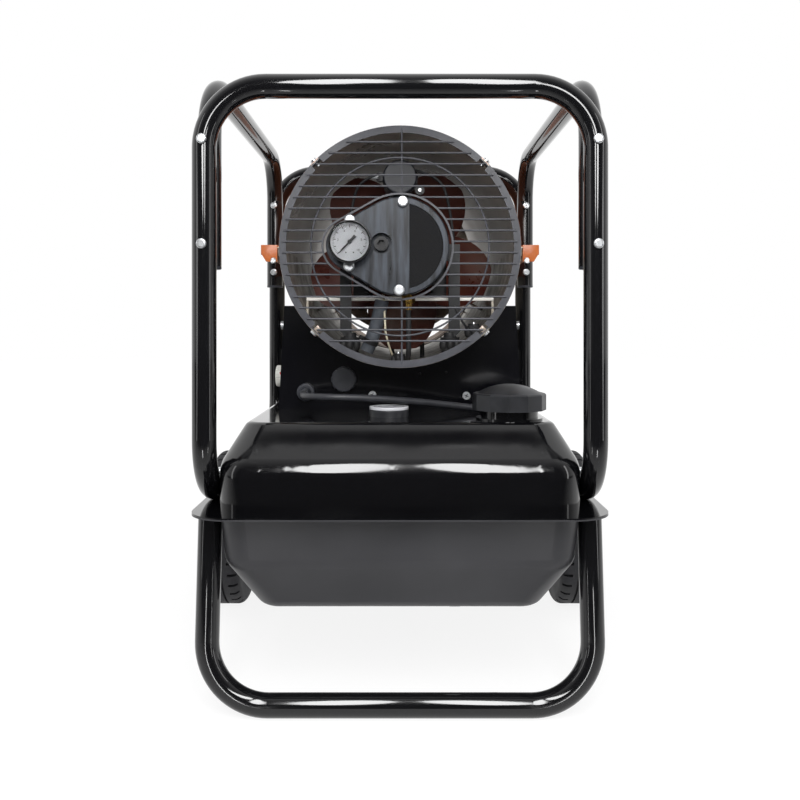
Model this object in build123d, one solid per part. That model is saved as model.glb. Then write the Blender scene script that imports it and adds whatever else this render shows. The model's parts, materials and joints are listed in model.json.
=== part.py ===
from build123d import *

# Forced air heater: a fuel burner and fan in a round barrel, on a fuel tank, in a cage of bent tube
# with two wheels.
#
# Millimetres. X is to the right seen from the fan end, Y runs from the fan end to the hot air outlet,
# Z is up from the floor. Pieces are drawn with Y counted from the centre of the rear hoop, and each is
# moved back by ORIGIN_Y when it is written, so the origin is on the floor under the heater's middle.

import os
from math import atan2, cos, pi, radians, sin, sqrt, tan

# ---- clearances ----
GAP = 0.3                   # between pieces that don't touch
RUN_FIT = 0.06              # radial, shaft in hole
SCREW_PLAY = 0.3            # radial, screw in a drilled hole
SMALL_SCREW_R = 2.0

# ---- frame tube ----
TUBE_R = 12.7
TUBE_WALL = 1.5
HOOP_CORNER_R = 64.0
RAIL_BEND_R = 60.0
FRONT_HOOP_Y = 550.0
RAIL_JOINT_Y = 250.0        # where the front half is pushed into the rear half
SPIGOT_LENGTH = 40.0
SIDE_RAIL_RISE = 15.3       # of the side rails' tops over the hoops'
SIDE_RAIL_CORNER_R = 65.0
SIDE_RAIL_END_Z = 470.0
END_CAP_THICK = 3.0
END_CAP_PLUG = 14.0
LEG_INSET = 1.4             # of the standing foot's legs from the rails
LEG_CORNER_R = 65.0
LEG_LEAN_Y = 25.0           # how far forward the leg hoop stands at its top
FRAME_BOLT_R = 3.0
FRAME_BOLT_HEAD_R = 5.25    # M6 button head
FRAME_BOLT_HEAD = 3.3
FRAME_BOLT_ZS = (491.5, 599.0)

# ---- tank ----
SHEET = 1.5
SEAM_Z = 214.8              # where the two tank halves meet
FLANGE_WIDTH = 25.5         # beside the tank's walls
FLANGE_REAR_Y = -44.0
FLANGE_FRONT_Y = 604.0
FLANGE_CORNER_R = 42.0
TANK_HALF_WIDTH = 189.5
TANK_REAR_Y = -15.0
TANK_FRONT_Y = 575.0
TANK_PLAN_R = 30.0          # corners seen from above, at the seam
TANK_PLAN_DRAW = 6.0        # by which those corners are tighter at top and bottom
TANK_SHOULDER_Z = 262.0
TANK_SHOULDER_R = 25.0
TANK_TOP_Z = 303.0
TANK_TOP_DRAW = 22.5        # by which the top is narrower than the seam, each side
TANK_TOP_R = 9.0
TANK_END_BEVEL = 45.0
TANK_CREASE_Z = 160.0
TANK_CREASE_DRAW = 5.0
TANK_CREASE_R = 25.0
TANK_BOTTOM_Z = 105.0
TANK_BOTTOM_DRAW = 40.0
TANK_BOTTOM_R = 20.0
DRAIN_X, DRAIN_Y, DRAIN_R = 60.0, 60.0, 7.0
PICKUP_X, PICKUP_Y, PICKUP_R = 50.0, 225.0, 6.0

# ---- filler and fuel gauge ----
CAP_INSET = 45.0            # of the cap's middle from the top's edge
CAP_Y = 70.0
NECK_R = 32.0
NECK_BORE_R = 30.0
NECK_TOP_Z = 325.0
CAP_R = 41.0
CAP_BOTTOM_Z = 313.5
CAP_RIM_Z = 332.0
CAP_TOP_Z = 342.0
CAP_SIDES = 12
CAP_TURN = 22.8             # degrees from +X to a corner of the skirt
CAP_WALL = 3.5
STRAINER_DEPTH = 70.0
GAUGE_X, GAUGE_Y = -12.7, 100.0
GAUGE_R = 23.0
GAUGE_TOP_Z = 311.0
FLOAT_PIVOT_Z = 205.0
FLOAT_ARM = 105.0
FLOAT_R = 15.0
FLOAT_LENGTH = 44.0

# ---- wheels ----
WHEEL_Y = 392.0
WHEEL_R = 110.0
WHEEL_GAP = 7.0             # between bracket and tyre
WHEEL_WIDTH = 46.0
RIM_R = 76.0
AXLE_R = 8.0
HUB_R = 17.0
HUB_GAP = 12.0              # between bracket and hub
HUB_LENGTH = 32.0
BRACKET_REACH = 11.5        # of the wheel brackets' outer faces past the rails' middles
BRACKET_THICK = 3.0
BRACKET_HALF_LENGTH = 60.0
TREAD_BLOCKS = 36
RAIL_BOLT_R = 4.0
RAIL_BOLT_HEAD_R = 6.5
RAIL_BOLT_HEAD = 5.3
RAIL_BOLT_YS = (78.0, WHEEL_Y - 48.0, WHEEL_Y + 48.0)

# ---- barrel ----
AXIS_Z = 496.0
BARREL_R = 137.0
BARREL_SHEET = 1.2
BARREL_REAR_Y = 80.0
BARREL_FRONT_Y = 740.0
BARREL_FLANGE = 20.0        # width of the folded flanges
BARREL_LIP = 9.0
HOOP_ROOM = 23.0            # from the barrel's top to the middle of the hoops' top bars
OUTLET_END_Y = 770.0
OUTLET_OVERLAP = 16.0
OUTLET_COLLAR = 18.0        # straight stretch that a duct slips over
OUTLET_STEP = 4.0           # of that stretch in from the barrel
OUTLET_MOUTH_STEP = 5.0     # of the mouth in from that stretch
SHELL_SCREW_YS = (110.0, 300.0, 500.0, 700.0)
CHAMBER_ROOM = 37.0         # for cooling air between chamber and barrel
CHAMBER_REAR_Y = 322.0
CHAMBER_FRONT_Y = 735.0
CHAMBER_BORE_R = 46.0
CHAMBER_HOLE_R = 6.0
CHAMBER_HOLE_INSET = 20.0
BAFFLE_ROOM = 42.0          # for the flame between baffle and chamber
BAFFLE_SHEET = 2.0
BAFFLE_ARM = 12.0
BURNER_FLANGE_R = 60.0
BURNER_REAR_Y = 292.0
NOZZLE_R = 5.5
ELECTRODE_R = 2.6
ELECTRODES = ((-11.0, AXIS_Z + 11.0), (11.0, AXIS_Z + 11.0))    # X and Z
LINE_R = 4.0
LINE_X = 11.0               # of both lines where they enter the burner head
FUEL_LINE_X, FUEL_LINE_Y = 30.0, 280.0

# ---- control box ----
BOX_REAR_Y = 175.0
BOX_LENGTH = 300.0
BOX_TOP_Z = 431.0
BOX_BOTTOM_HALF_WIDTH = 150.0
BOX_LEAN = 7.0              # by which the box is narrower at its top, each side
BOX_LIP = 12.0
COVER_SCREW_Z = 407.0
BOX_REAR_SCREWS = ((-34.0, 321.0), (82.0, 320.0))    # X and Z
KNOB_Y, KNOB_Z = 300.0, 337.0
KNOB_R = 14.5
KNOB_REACH = 20.0
SWITCH_Y, SWITCH_Z = 236.0, 337.0
SWITCH_HALF_Y, SWITCH_HALF_Z = 7.0, 11.0
SWITCH_TILT = 9.0
GLAND_X, GLAND_Z = -116.0, 324.5
GLAND_R = 11.0
GLAND_NOSE = 22.0
SOCKET_X, SOCKET_Z = -69.0, 340.5
SOCKET_R = 15.5
SOCKET_REACH = 12.0
BOARD_X0, BOARD_X1 = -110.0, -20.0
BOARD_Y0, BOARD_Y1 = 330.0, 430.0
BOARD_LIFT = 6.0
BOARD_THICK = 1.6
BOARD_PARTS = (             # X and Y from the board's corner, size and height of each part
    (20.0, 20.0, 24.0, 18.0),
    (52.0, 22.0, 20.0, 15.0),
    (26.0, 70.0, 30.0, 12.0),
    (66.0, 68.0, 18.0, 24.0),
)
SPARK_X0, SPARK_X1 = 25.0, 100.0
SPARK_Y0, SPARK_Y1 = 340.0, 415.0
SPARK_ROOM = 12.5           # between the spark transformer and the barrel
SPARK_POST_R = 5.0
SPARK_POST = 7.0
SPARK_FOOT = 10.0

# ---- fan, motor and pump ----
SHAFT_R = 6.0
MOTOR_R = 46.0
MOTOR_REAR_Y = 118.0
MOTOR_FRONT_Y = 218.0
MOTOR_WALL = 3.0
MOTOR_END = 4.0
ROTOR_R = 27.0
MOTOR_FOOT_Y0, MOTOR_FOOT_Y1 = 150.0, 200.0
STRAP_X = 64.0              # middle of the straps that stand beside the motor
STRAP_HALF = 6.5
STRAP_Y0, STRAP_Y1 = 122.0, 134.0
STRAP_LOW_Z = 393.0
SADDLE_LENGTH = 26.0
BRACKET_TOP_Z = 442.0
BRACKET_INSET = 25.0        # of the bracket's ends from the barrel's side
BRACKET_SHEET = 2.5
BRACKET_REAR_Y = 140.0
BRACKET_FRONT_Y = 212.0
CAPACITOR_R = 20.5
CAPACITOR_REAR_Y = 130.0
CAPACITOR_LENGTH = 70.0
CAPACITOR_Z = 583.0
FAN_GAP = 16.0              # between the blades' tips and the barrel
FAN_Y = 248.0
FAN_BLADES = 5
FAN_PITCH = 20.0
FAN_SHEET = 1.5
FAN_HUB_R = 24.0
FAN_HUB_LENGTH = 20.0
BLADE_MIDDLE = 68.0         # from the shaft to the middle of a blade
BLADE_HALF_WIDTH = 48.0
BLADE_HALF_LENGTH = 56.0
BLADE_ROOT_WIDTH = 34.0
FAN_START = -16.0           # angle of the first blade's middle, seen from the fan end
PUMP_FACE_Y = 70.0
PUMP_COVER_THICK = 20.0
PUMP_R = 55.0
PUMP_LOBE_X = -56.0
PUMP_LOBE_R = 27.0
PUMP_CAVITY_R = 33.0
PUMP_ROTOR_R = 29.7
PUMP_OFFSET = 3.0
PUMP_ROTOR_LENGTH = 17.0
COVER_SCREWS = (            # X and Z
    (3.0, AXIS_Z + 49.5),
    (-1.0, AXIS_Z - 49.5),
    (-56.0, AXIS_Z + 28.5),
    (-57.0, AXIS_Z - 22.5),
)
COVER_SCREW_R = 3.0
COVER_HEAD_R = 6.3
COVER_HEAD = 5.0
FILTER_CHORD_X = 10.5
FILTER_R = 48.5
FILTER_DEPTH = 10.0
DIAL_X, DIAL_Z = -55.5, 499.5
DIAL_R = 24.0
DIAL_REACH = 20.0
DIAL_STEM_R = 6.0
NEEDLE_ANGLE = -137.0
SCREW_X, SCREW_Z = -21.0, 499.0
SCREW_R = 8.0
SCREW_RECESS_R = 11.8
AIR_FITTING_X = 10.0

# ---- fan guard ----
GUARD_RIM = 8.0
GUARD_RIM_THICK = 2.0
GUARD_WIRE_R = 1.1
GUARD_BARS = 19
GUARD_LIFT = 5.8            # of the middle bar over the barrel's axis
GUARD_RING_INSET = 36.5     # of the ring from the barrel's side
GUARD_WINDOW_GAP = 4.5      # between the pump cover and the wire round it
GUARD_CLIP_ANGLES = (45.0, 135.0, 225.0, 315.0)
GUARD_CLIP_HALF = 2.6       # half the angle that a clip takes out of the rim

# ---- mains lead ----
CORD_R = 4.0
COIL_X, COIL_Y = 60.0, 545.0
COIL_INNER_R = 35.5
COIL_PITCH = 8.6            # between turns and between layers
COIL_TURNS = 3
COIL_CLIMB = 0.5            # turns in which the lead climbs from the floor layer to the top one
COIL_START_ANGLE = 107.5
COIL_TAIL = 30.0
PLUG_RELIEF = 24.0
PLUG_BODY = 34.0
PLUG_HALF_HEIGHT = CORD_R + COIL_PITCH

ORIGIN_Y = (FLANGE_REAR_Y + OUTLET_END_Y) / 2
HOOP_X = TANK_HALF_WIDTH + TUBE_R + 1.3     # centre lines of the hoops' uprights and of the rails
HOOP_TOP_Z = AXIS_Z + BARREL_R + HOOP_ROOM
SIDE_RAIL_TOP_Z = HOOP_TOP_Z + SIDE_RAIL_RISE
LEG_X = HOOP_X - LEG_INSET
FLANGE_HALF_WIDTH = TANK_HALF_WIDTH + FLANGE_WIDTH
TANK_TOP_HALF_WIDTH = TANK_HALF_WIDTH - TANK_TOP_DRAW
CAP_X = TANK_TOP_HALF_WIDTH - CAP_INSET
BRACKET_X = HOOP_X + BRACKET_REACH
WHEEL_INNER_X = BRACKET_X + WHEEL_GAP
HUB_INNER_X = BRACKET_X + HUB_GAP
BARREL_FLANGE_X = BARREL_R + BARREL_FLANGE
OUTLET_COLLAR_R = BARREL_R - OUTLET_STEP
OUTLET_MOUTH_R = OUTLET_COLLAR_R - OUTLET_MOUTH_STEP
CHAMBER_R = BARREL_R - CHAMBER_ROOM
BRACKET_HALF_WIDTH = BARREL_R - BRACKET_INSET
FAN_R = BARREL_R - FAN_GAP
GUARD_MIDDLE_Z = AXIS_Z + GUARD_LIFT
GUARD_RING_R = BARREL_R - GUARD_RING_INSET
GUARD_PITCH = BARREL_R / 11
BOX_TOP_HALF_WIDTH = BOX_BOTTOM_HALF_WIDTH - BOX_LEAN
FLANGE_TOP_Z = SEAM_Z + SHEET
FLANGE_BOTTOM_Z = SEAM_Z - SHEET
RAIL_Z = FLANGE_TOP_Z + TUBE_R
BORE_R = TUBE_R - TUBE_WALL
SIDE_RAIL_REAR_Y = 2 * TUBE_R + GAP
SIDE_RAIL_FRONT_Y = FRONT_HOOP_Y - 2 * TUBE_R - GAP
BARREL_BORE_R = BARREL_R - BARREL_SHEET
MOTOR_BORE_R = MOTOR_R - MOTOR_WALL
PUMP_COVER_FRONT_Y = PUMP_FACE_Y + PUMP_COVER_THICK
GUARD_Y = BARREL_REAR_Y - GUARD_RIM_THICK
BOX_FRONT_Y = BOX_REAR_Y + BOX_LENGTH
SWITCH_PIVOT_X = -(BOX_BOTTOM_HALF_WIDTH - 3.5)
WHEEL_MIDDLE_X = WHEEL_INNER_X + WHEEL_WIDTH / 2
SIDES = (-1, 1)


# ---- drawing helpers ----
def rod(radius, length, x, y, z, along="z"):
    """A cylinder that starts at a point and runs along +X, +Y or +Z."""
    turn = {"x": Rot(0, 90, 0), "y": Rot(-90, 0, 0), "z": Rot(0, 0, 0)}[along]
    low = (Align.CENTER, Align.CENTER, Align.MIN)
    return Pos(x, y, z) * turn * Cylinder(radius, length, align=low)


def ring(outer, inner, length, x, y, z, along="z"):
    """A round tube that starts at a point and runs along +X, +Y or +Z."""
    return rod(outer, length, x, y, z, along) - rod(inner, length, x, y, z, along)


def taper(radius_a, radius_b, length, x, y, z, along="z"):
    """A cone that starts at a point with radius_a and runs along +X, +Y or +Z to radius_b."""
    turn = {"x": Rot(0, 90, 0), "y": Rot(-90, 0, 0), "z": Rot(0, 0, 0)}[along]
    low = (Align.CENTER, Align.CENTER, Align.MIN)
    return Pos(x, y, z) * turn * Cone(radius_a, radius_b, length, align=low)


def block(x0, x1, y0, y1, z0, z1):
    """A box between its limits."""
    middle = Pos((x0 + x1) / 2, (y0 + y1) / 2, (z0 + z1) / 2)
    return middle * Box(abs(x1 - x0), abs(y1 - y0), abs(z1 - z0))


def along_y(sketch, y0, y1):
    """A sketch drawn in X and Z, made solid from y0 to y1."""
    plane = Plane(origin=(0, y1, 0), x_dir=(1, 0, 0), z_dir=(0, -1, 0))
    return extrude(plane * sketch, amount=y1 - y0, dir=(0, -1, 0))


def along_x(sketch, x0, x1):
    """A sketch drawn in Y and Z, made solid from x0 to x1."""
    plane = Plane(origin=(x0, 0, 0), x_dir=(0, 1, 0), z_dir=(1, 0, 0))
    return extrude(plane * sketch, amount=x1 - x0, dir=(1, 0, 0))


def along_z(sketch, z0, z1):
    """A sketch drawn in X and Y, made solid from z0 to z1."""
    return extrude(Plane.XY.offset(z0) * sketch, amount=z1 - z0, dir=(0, 0, 1))


def turned(points, z=AXIS_Z):
    """A profile of (radius, y) points turned about a line along Y at height z."""
    face = make_face(Polyline(*[(r, y) for r, y in points], close=True))
    return Pos(0, 0, z) * revolve(face, Axis.Y, 360)


def swept(path, radius, bore=0.0):
    """A round tube or rod along a path."""
    section = Circle(radius) - Circle(bore) if bore else Circle(radius)
    return sweep(Plane(path @ 0, z_dir=path % 0) * section, path=path)


def bent_tube(points, bend_radii):
    """The frame's tube along straight runs and bends."""
    return swept(FilletPolyline(*points, radius=bend_radii), TUBE_R, BORE_R)


def hexagon(across_flats, length, x, y, z, along="z"):
    """A hexagonal bar that starts at a point and runs along +X, +Y or +Z."""
    turn = {"x": Rot(0, 90, 0), "y": Rot(-90, 0, 0), "z": Rot(0, 0, 0)}[along]
    outline = RegularPolygon(across_flats / 2, 6, major_radius=False)
    return Pos(x, y, z) * turn * extrude(outline, amount=length)


def group(solids):
    """Separate solids that share one file."""
    return Compound([piece for shape in solids for piece in shape.solids()])


def mirrored(shape):
    """The same piece on the left."""
    return mirror(shape, about=Plane.YZ)


# ---- frame ----
def frame_bolt_places():
    """X, first Y and Z of each bolt that holds a side rail to a hoop."""
    starts = (-TUBE_R, SIDE_RAIL_FRONT_Y - TUBE_R)
    return [(side * HOOP_X, y, z) for side in SIDES for y in starts for z in FRAME_BOLT_ZS]


def frame_drill():
    """Everything that is drilled out of the tubes for the bolts."""
    grip = 4 * TUBE_R + GAP
    across = [
        rod(FRAME_BOLT_R + SCREW_PLAY, grip + 2, x, y - 1, z, "y") for x, y, z in frame_bolt_places()
    ]
    down = [
        rod(RAIL_BOLT_R + SCREW_PLAY, 2 * TUBE_R + 2, side * HOOP_X, y, RAIL_Z - TUBE_R - 1)
        for side in SIDES
        for y in RAIL_BOLT_YS
    ]
    return across + down


def rear_hoop():
    """The rear hoop and the rear half of both rails, one bent tube."""
    points = [
        (-HOOP_X, RAIL_JOINT_Y, RAIL_Z),
        (-HOOP_X, 0, RAIL_Z),
        (-HOOP_X, 0, HOOP_TOP_Z),
        (HOOP_X, 0, HOOP_TOP_Z),
        (HOOP_X, 0, RAIL_Z),
        (HOOP_X, RAIL_JOINT_Y, RAIL_Z),
    ]
    tube = bent_tube(points, [RAIL_BEND_R, HOOP_CORNER_R, HOOP_CORNER_R, RAIL_BEND_R])
    return tube - frame_drill()


def front_hoop():
    """The front hoop and the front half of both rails, with spigots for the rear half."""
    start = RAIL_JOINT_Y + GAP
    points = [
        (-HOOP_X, start, RAIL_Z),
        (-HOOP_X, FRONT_HOOP_Y, RAIL_Z),
        (-HOOP_X, FRONT_HOOP_Y, HOOP_TOP_Z),
        (HOOP_X, FRONT_HOOP_Y, HOOP_TOP_Z),
        (HOOP_X, FRONT_HOOP_Y, RAIL_Z),
        (HOOP_X, start, RAIL_Z),
    ]
    tube = bent_tube(points, [RAIL_BEND_R, HOOP_CORNER_R, HOOP_CORNER_R, RAIL_BEND_R])
    inner = BORE_R - 2 * TUBE_WALL
    for side in SIDES:
        tube += ring(BORE_R + TUBE_WALL / 2, inner, TUBE_R, side * HOOP_X, start, RAIL_Z, "y")
        spigot = start - SPIGOT_LENGTH
        tube += ring(BORE_R - GAP, inner, SPIGOT_LENGTH + 1, side * HOOP_X, spigot, RAIL_Z, "y")
    return tube - frame_drill()


def side_rail(side):
    """The upside-down U along one side, bolted inside both hoops."""
    x = side * HOOP_X
    points = [
        (x, SIDE_RAIL_REAR_Y, SIDE_RAIL_END_Z),
        (x, SIDE_RAIL_REAR_Y, SIDE_RAIL_TOP_Z),
        (x, SIDE_RAIL_FRONT_Y, SIDE_RAIL_TOP_Z),
        (x, SIDE_RAIL_FRONT_Y, SIDE_RAIL_END_Z),
    ]
    return bent_tube(points, [SIDE_RAIL_CORNER_R] * 2) - frame_drill()


def rail_end_caps():
    """Plastic plugs in the lower ends of the side rails."""
    caps = []
    for side in SIDES:
        for y in (SIDE_RAIL_REAR_Y, SIDE_RAIL_FRONT_Y):
            x = side * HOOP_X
            head = rod(TUBE_R, END_CAP_THICK, x, y, SIDE_RAIL_END_Z - END_CAP_THICK)
            head = fillet(head.edges().sort_by(Axis.Z)[0], END_CAP_THICK / 2)
            caps.append(head + rod(BORE_R - GAP, END_CAP_PLUG, x, y, SIDE_RAIL_END_Z - 1))
    return group(caps)


def leg_hoop():
    """The standing foot: a U of tube that leans forward, with a plate on each leg."""
    top_z = FLANGE_BOTTOM_Z - BRACKET_THICK
    rise = top_z - TUBE_R
    lean = atan2(LEG_LEAN_Y, rise)
    length = rise / cos(lean) + TUBE_R
    points = []
    for x, up in ((-LEG_X, length), (-LEG_X, 0), (LEG_X, 0), (LEG_X, length)):
        points.append((x, up * sin(lean), TUBE_R + up * cos(lean)))
    hoop = bent_tube(points, [LEG_CORNER_R] * 2)
    hoop -= block(-BRACKET_X, BRACKET_X, -BRACKET_X, BRACKET_X, top_z, top_z + 4 * TUBE_R)
    inner_x = TANK_HALF_WIDTH + 2 * GAP
    for side in SIDES:
        plate = block(
            side * inner_x, side * BRACKET_X, 8, RAIL_BOLT_YS[0] + 14, top_z, top_z + BRACKET_THICK
        )
        hoop += plate - rod(RAIL_BOLT_R + SCREW_PLAY, 10, side * HOOP_X, RAIL_BOLT_YS[0], top_z - 2)
    return hoop


def frame_bolts():
    """Bolts and nuts of the tube frame, each a separate solid."""
    solids = []
    grip = 4 * TUBE_R + GAP
    for x, y, z in frame_bolt_places():
        head = rod(FRAME_BOLT_HEAD_R, FRAME_BOLT_HEAD, x, y - FRAME_BOLT_HEAD, z, "y")
        head = fillet(head.edges().sort_by(Axis.Y)[0], FRAME_BOLT_HEAD / 2)
        solids.append(head + rod(FRAME_BOLT_R, grip + 7, x, y - 1, z, "y"))
        nut = hexagon(10, 5, x, y + grip, z, "y")
        solids.append(nut - rod(FRAME_BOLT_R, 5, x, y + grip, z, "y"))
    low_z = FLANGE_BOTTOM_Z - BRACKET_THICK
    for side in SIDES:
        for y in RAIL_BOLT_YS:
            x = side * HOOP_X
            top_z = RAIL_Z + TUBE_R
            head = rod(RAIL_BOLT_HEAD_R, RAIL_BOLT_HEAD, x, y, top_z)
            head = fillet(head.edges().sort_by(Axis.Z)[-1], RAIL_BOLT_HEAD / 2)
            solids.append(head + rod(RAIL_BOLT_R, top_z - low_z + 8, x, y, low_z - 8))
            nut = hexagon(13, 6.5, x, y, low_z - 6.5)
            solids.append(nut - rod(RAIL_BOLT_R, 6.5, x, y, low_z - 6.5))
    return group(solids)


# ---- tank ----
def tank_plan(half_width, rear_y, front_y, corner_r):
    """The tank's outline seen from above."""
    shape = RectangleRounded(2 * half_width, front_y - rear_y, corner_r)
    return Pos(0, (rear_y + front_y) / 2) * shape


def tank_body(levels):
    """A body through outlines at several heights, each rounded by its own edge radius."""
    sections = []
    for z, draw, end_draw, corner_r, _ in levels:
        plan = tank_plan(TANK_HALF_WIDTH - draw, TANK_REAR_Y + end_draw, TANK_FRONT_Y - end_draw, corner_r)
        sections.append(Plane.XY.offset(z) * plan)
    body = loft(sections, ruled=True)
    for z, *_, edge_r in levels[1:]:
        rim = [e for e in body.edges() if abs(e.center().Z - z) < 0.01 and e.bounding_box().size.Z < 0.01]
        body = fillet(rim, edge_r)
    return body


def tank_upper_body(inset):
    """The upper half of the tank, drawn in by inset."""
    corner, top_corner = TANK_PLAN_R - inset, TANK_PLAN_R - TANK_PLAN_DRAW - inset
    levels = [
        (SEAM_Z, inset, inset, corner, 0),
        (TANK_SHOULDER_Z - inset / 2, inset, inset, corner, TANK_SHOULDER_R - inset),
        (TANK_TOP_Z - inset, TANK_TOP_DRAW + inset, TANK_END_BEVEL + inset, top_corner, TANK_TOP_R - inset),
    ]
    return tank_body(levels)


def tank_lower_body(inset):
    """The lower half of the tank, drawn in by inset."""
    corner, low_corner = TANK_PLAN_R - inset, TANK_PLAN_R - TANK_PLAN_DRAW - inset
    crease, low = TANK_CREASE_DRAW + inset, TANK_BOTTOM_DRAW + inset / 2
    levels = [
        (SEAM_Z, inset, inset, corner, 0),
        (TANK_CREASE_Z + inset / 2, crease, crease, corner, TANK_CREASE_R - inset),
        (TANK_BOTTOM_Z + inset, low, low, low_corner, TANK_BOTTOM_R - inset),
    ]
    return tank_body(levels)


def tank_flange(z0):
    """The rim round one tank half, drilled for the rail bolts."""
    outer = tank_plan(FLANGE_HALF_WIDTH, FLANGE_REAR_Y, FLANGE_FRONT_Y, FLANGE_CORNER_R)
    inner = tank_plan(
        TANK_HALF_WIDTH - SHEET, TANK_REAR_Y + SHEET, TANK_FRONT_Y - SHEET, TANK_PLAN_R - SHEET
    )
    rim = along_z(outer - inner, z0, z0 + SHEET)
    for side in SIDES:
        for y in RAIL_BOLT_YS:
            rim -= rod(RAIL_BOLT_R + SCREW_PLAY, 6, side * HOOP_X, y, z0 - 2)
    return rim


def tank_upper_shell():
    """The pressed upper half, with its openings for filler, gauge, pick-up and box screws."""
    shell = tank_upper_body(0) - tank_upper_body(SHEET) + tank_flange(SEAM_Z)
    below = TANK_TOP_Z - 10
    shell -= rod(NECK_R + GAP, 20, CAP_X, CAP_Y, below)
    shell -= rod(GAUGE_R - 4, 20, GAUGE_X, GAUGE_Y, below)
    shell -= rod(PICKUP_R + SCREW_PLAY, 20, PICKUP_X, PICKUP_Y, below)
    for x, y in box_foot_places():
        shell -= rod(SMALL_SCREW_R + SCREW_PLAY, 20, x, y, below)
    return shell


def tank_lower_shell():
    """The pressed lower half, with its drain."""
    shell = tank_lower_body(0) - tank_lower_body(SHEET) + tank_flange(SEAM_Z - SHEET)
    return shell - rod(DRAIN_R + SCREW_PLAY, 10, DRAIN_X, DRAIN_Y, TANK_BOTTOM_Z - 4)


def tank_drain_plug():
    """The screw that closes the drain in the tank's bottom."""
    plug = hexagon(19, 6, DRAIN_X, DRAIN_Y, TANK_BOTTOM_Z - 6)
    return plug + rod(DRAIN_R, 12, DRAIN_X, DRAIN_Y, TANK_BOTTOM_Z - 1)


def filler_neck():
    """The neck that the cap closes, with the collar that seats it on the tank."""
    neck = ring(NECK_R, NECK_BORE_R, NECK_TOP_Z - TANK_TOP_Z + 8, CAP_X, CAP_Y, TANK_TOP_Z - 8)
    return neck + ring(NECK_R + 5, NECK_BORE_R, 2, CAP_X, CAP_Y, TANK_TOP_Z)


def filler_strainer():
    """The slotted basket that hangs in the neck."""
    rim_z = NECK_TOP_Z
    radius = NECK_BORE_R - 1
    basket = rod(radius, STRAINER_DEPTH, CAP_X, CAP_Y, rim_z - STRAINER_DEPTH)
    basket += rod(NECK_R, 0.8, CAP_X, CAP_Y, rim_z)
    basket -= rod(radius - 1, STRAINER_DEPTH, CAP_X, CAP_Y, rim_z - STRAINER_DEPTH + 1)
    slots = []
    for k in range(8):
        slot = block(radius - 4, radius + 4, -4, 4, rim_z - STRAINER_DEPTH + 8, rim_z - 25)
        slots.append(Pos(CAP_X, CAP_Y, 0) * Rot(0, 0, 45 * k) * slot)
    return basket - slots


def cap_gasket():
    """The rubber seal between neck and cap."""
    return ring(NECK_R - 0.5, NECK_BORE_R - 2, 2, CAP_X, CAP_Y, NECK_TOP_Z + 0.8 + 0.2)


def fuel_cap():
    """The black cap: a faceted skirt under a low dome."""
    outline = Pos(CAP_X, CAP_Y) * Rot(0, 0, CAP_TURN) * RegularPolygon(CAP_R, CAP_SIDES)
    skirt = along_z(outline, CAP_BOTTOM_Z, CAP_RIM_Z)
    skirt = chamfer(skirt.edges().group_by(Axis.Z)[-1], 1.5)
    dome_r = ((CAP_R - 4) ** 2 + (CAP_TOP_Z - CAP_RIM_Z + 1) ** 2) / (2 * (CAP_TOP_Z - CAP_RIM_Z + 1))
    dome = Pos(CAP_X, CAP_Y, CAP_TOP_Z - dome_r) * Sphere(dome_r)
    dome &= rod(CAP_R - 4, 20, CAP_X, CAP_Y, CAP_RIM_Z - 1)
    cap = skirt + dome
    inside_z = NECK_TOP_Z + 3.2
    cap -= rod(CAP_R - CAP_WALL, inside_z - CAP_BOTTOM_Z, CAP_X, CAP_Y, CAP_BOTTOM_Z)
    return cap


def fuel_gauge_body():
    """The gauge's case on the tank, with the stem and pin that carry the float arm."""
    case = rod(GAUGE_R, GAUGE_TOP_Z - TANK_TOP_Z, GAUGE_X, GAUGE_Y, TANK_TOP_Z)
    case = fillet(case.edges().sort_by(Axis.Z)[-1], 1.5)
    case += rod(GAUGE_R - 4 - GAP, 9, GAUGE_X, GAUGE_Y, TANK_TOP_Z - 8)
    case -= rod(GAUGE_R - 4.5, 20, GAUGE_X, GAUGE_Y, GAUGE_TOP_Z - 5)
    case -= rod(GAUGE_R - 3, 20, GAUGE_X, GAUGE_Y, GAUGE_TOP_Z - 1.8)
    stem_x = GAUGE_X - 9
    stem_low = FLOAT_PIVOT_Z - 6
    case += block(stem_x - 2, stem_x + 2, GAUGE_Y - 6, GAUGE_Y + 6, stem_low, TANK_TOP_Z - 7)
    case += rod(2, 16, stem_x, GAUGE_Y, FLOAT_PIVOT_Z, "x")
    case += rod(3.5, 1.5, stem_x + 15, GAUGE_Y, FLOAT_PIVOT_Z, "x")
    return case - rod(1 + RUN_FIT, 6, GAUGE_X, GAUGE_Y, GAUGE_TOP_Z - 10)


def fuel_pointer():
    """The needle of the tank gauge, on its spindle."""
    z = GAUGE_TOP_Z - 4.5
    needle = rod(3, 1.2, GAUGE_X, GAUGE_Y, z)
    needle += block(GAUGE_X - 1, GAUGE_X + 1, GAUGE_Y - 15, GAUGE_Y + 6, z, z + 1)
    return needle + rod(1, 4.5, GAUGE_X, GAUGE_Y, z - 4)


def float_arm():
    """The float on its arm, level at half full."""
    hub_x = GAUGE_X - 9 + 2 + GAP
    x = hub_x + 4
    arm = rod(5, 8, hub_x, GAUGE_Y, FLOAT_PIVOT_Z, "x")
    arm += rod(1.5, FLOAT_ARM - 4, x, GAUGE_Y + 4, FLOAT_PIVOT_Z, "y")
    bulb = rod(FLOAT_R, FLOAT_LENGTH, x - FLOAT_LENGTH / 2, GAUGE_Y + FLOAT_ARM, FLOAT_PIVOT_Z, "x")
    arm += fillet(bulb.edges().filter_by(GeomType.CIRCLE), 4)
    return arm - rod(2 + RUN_FIT, 20, hub_x - 2, GAUGE_Y, FLOAT_PIVOT_Z, "x")


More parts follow.
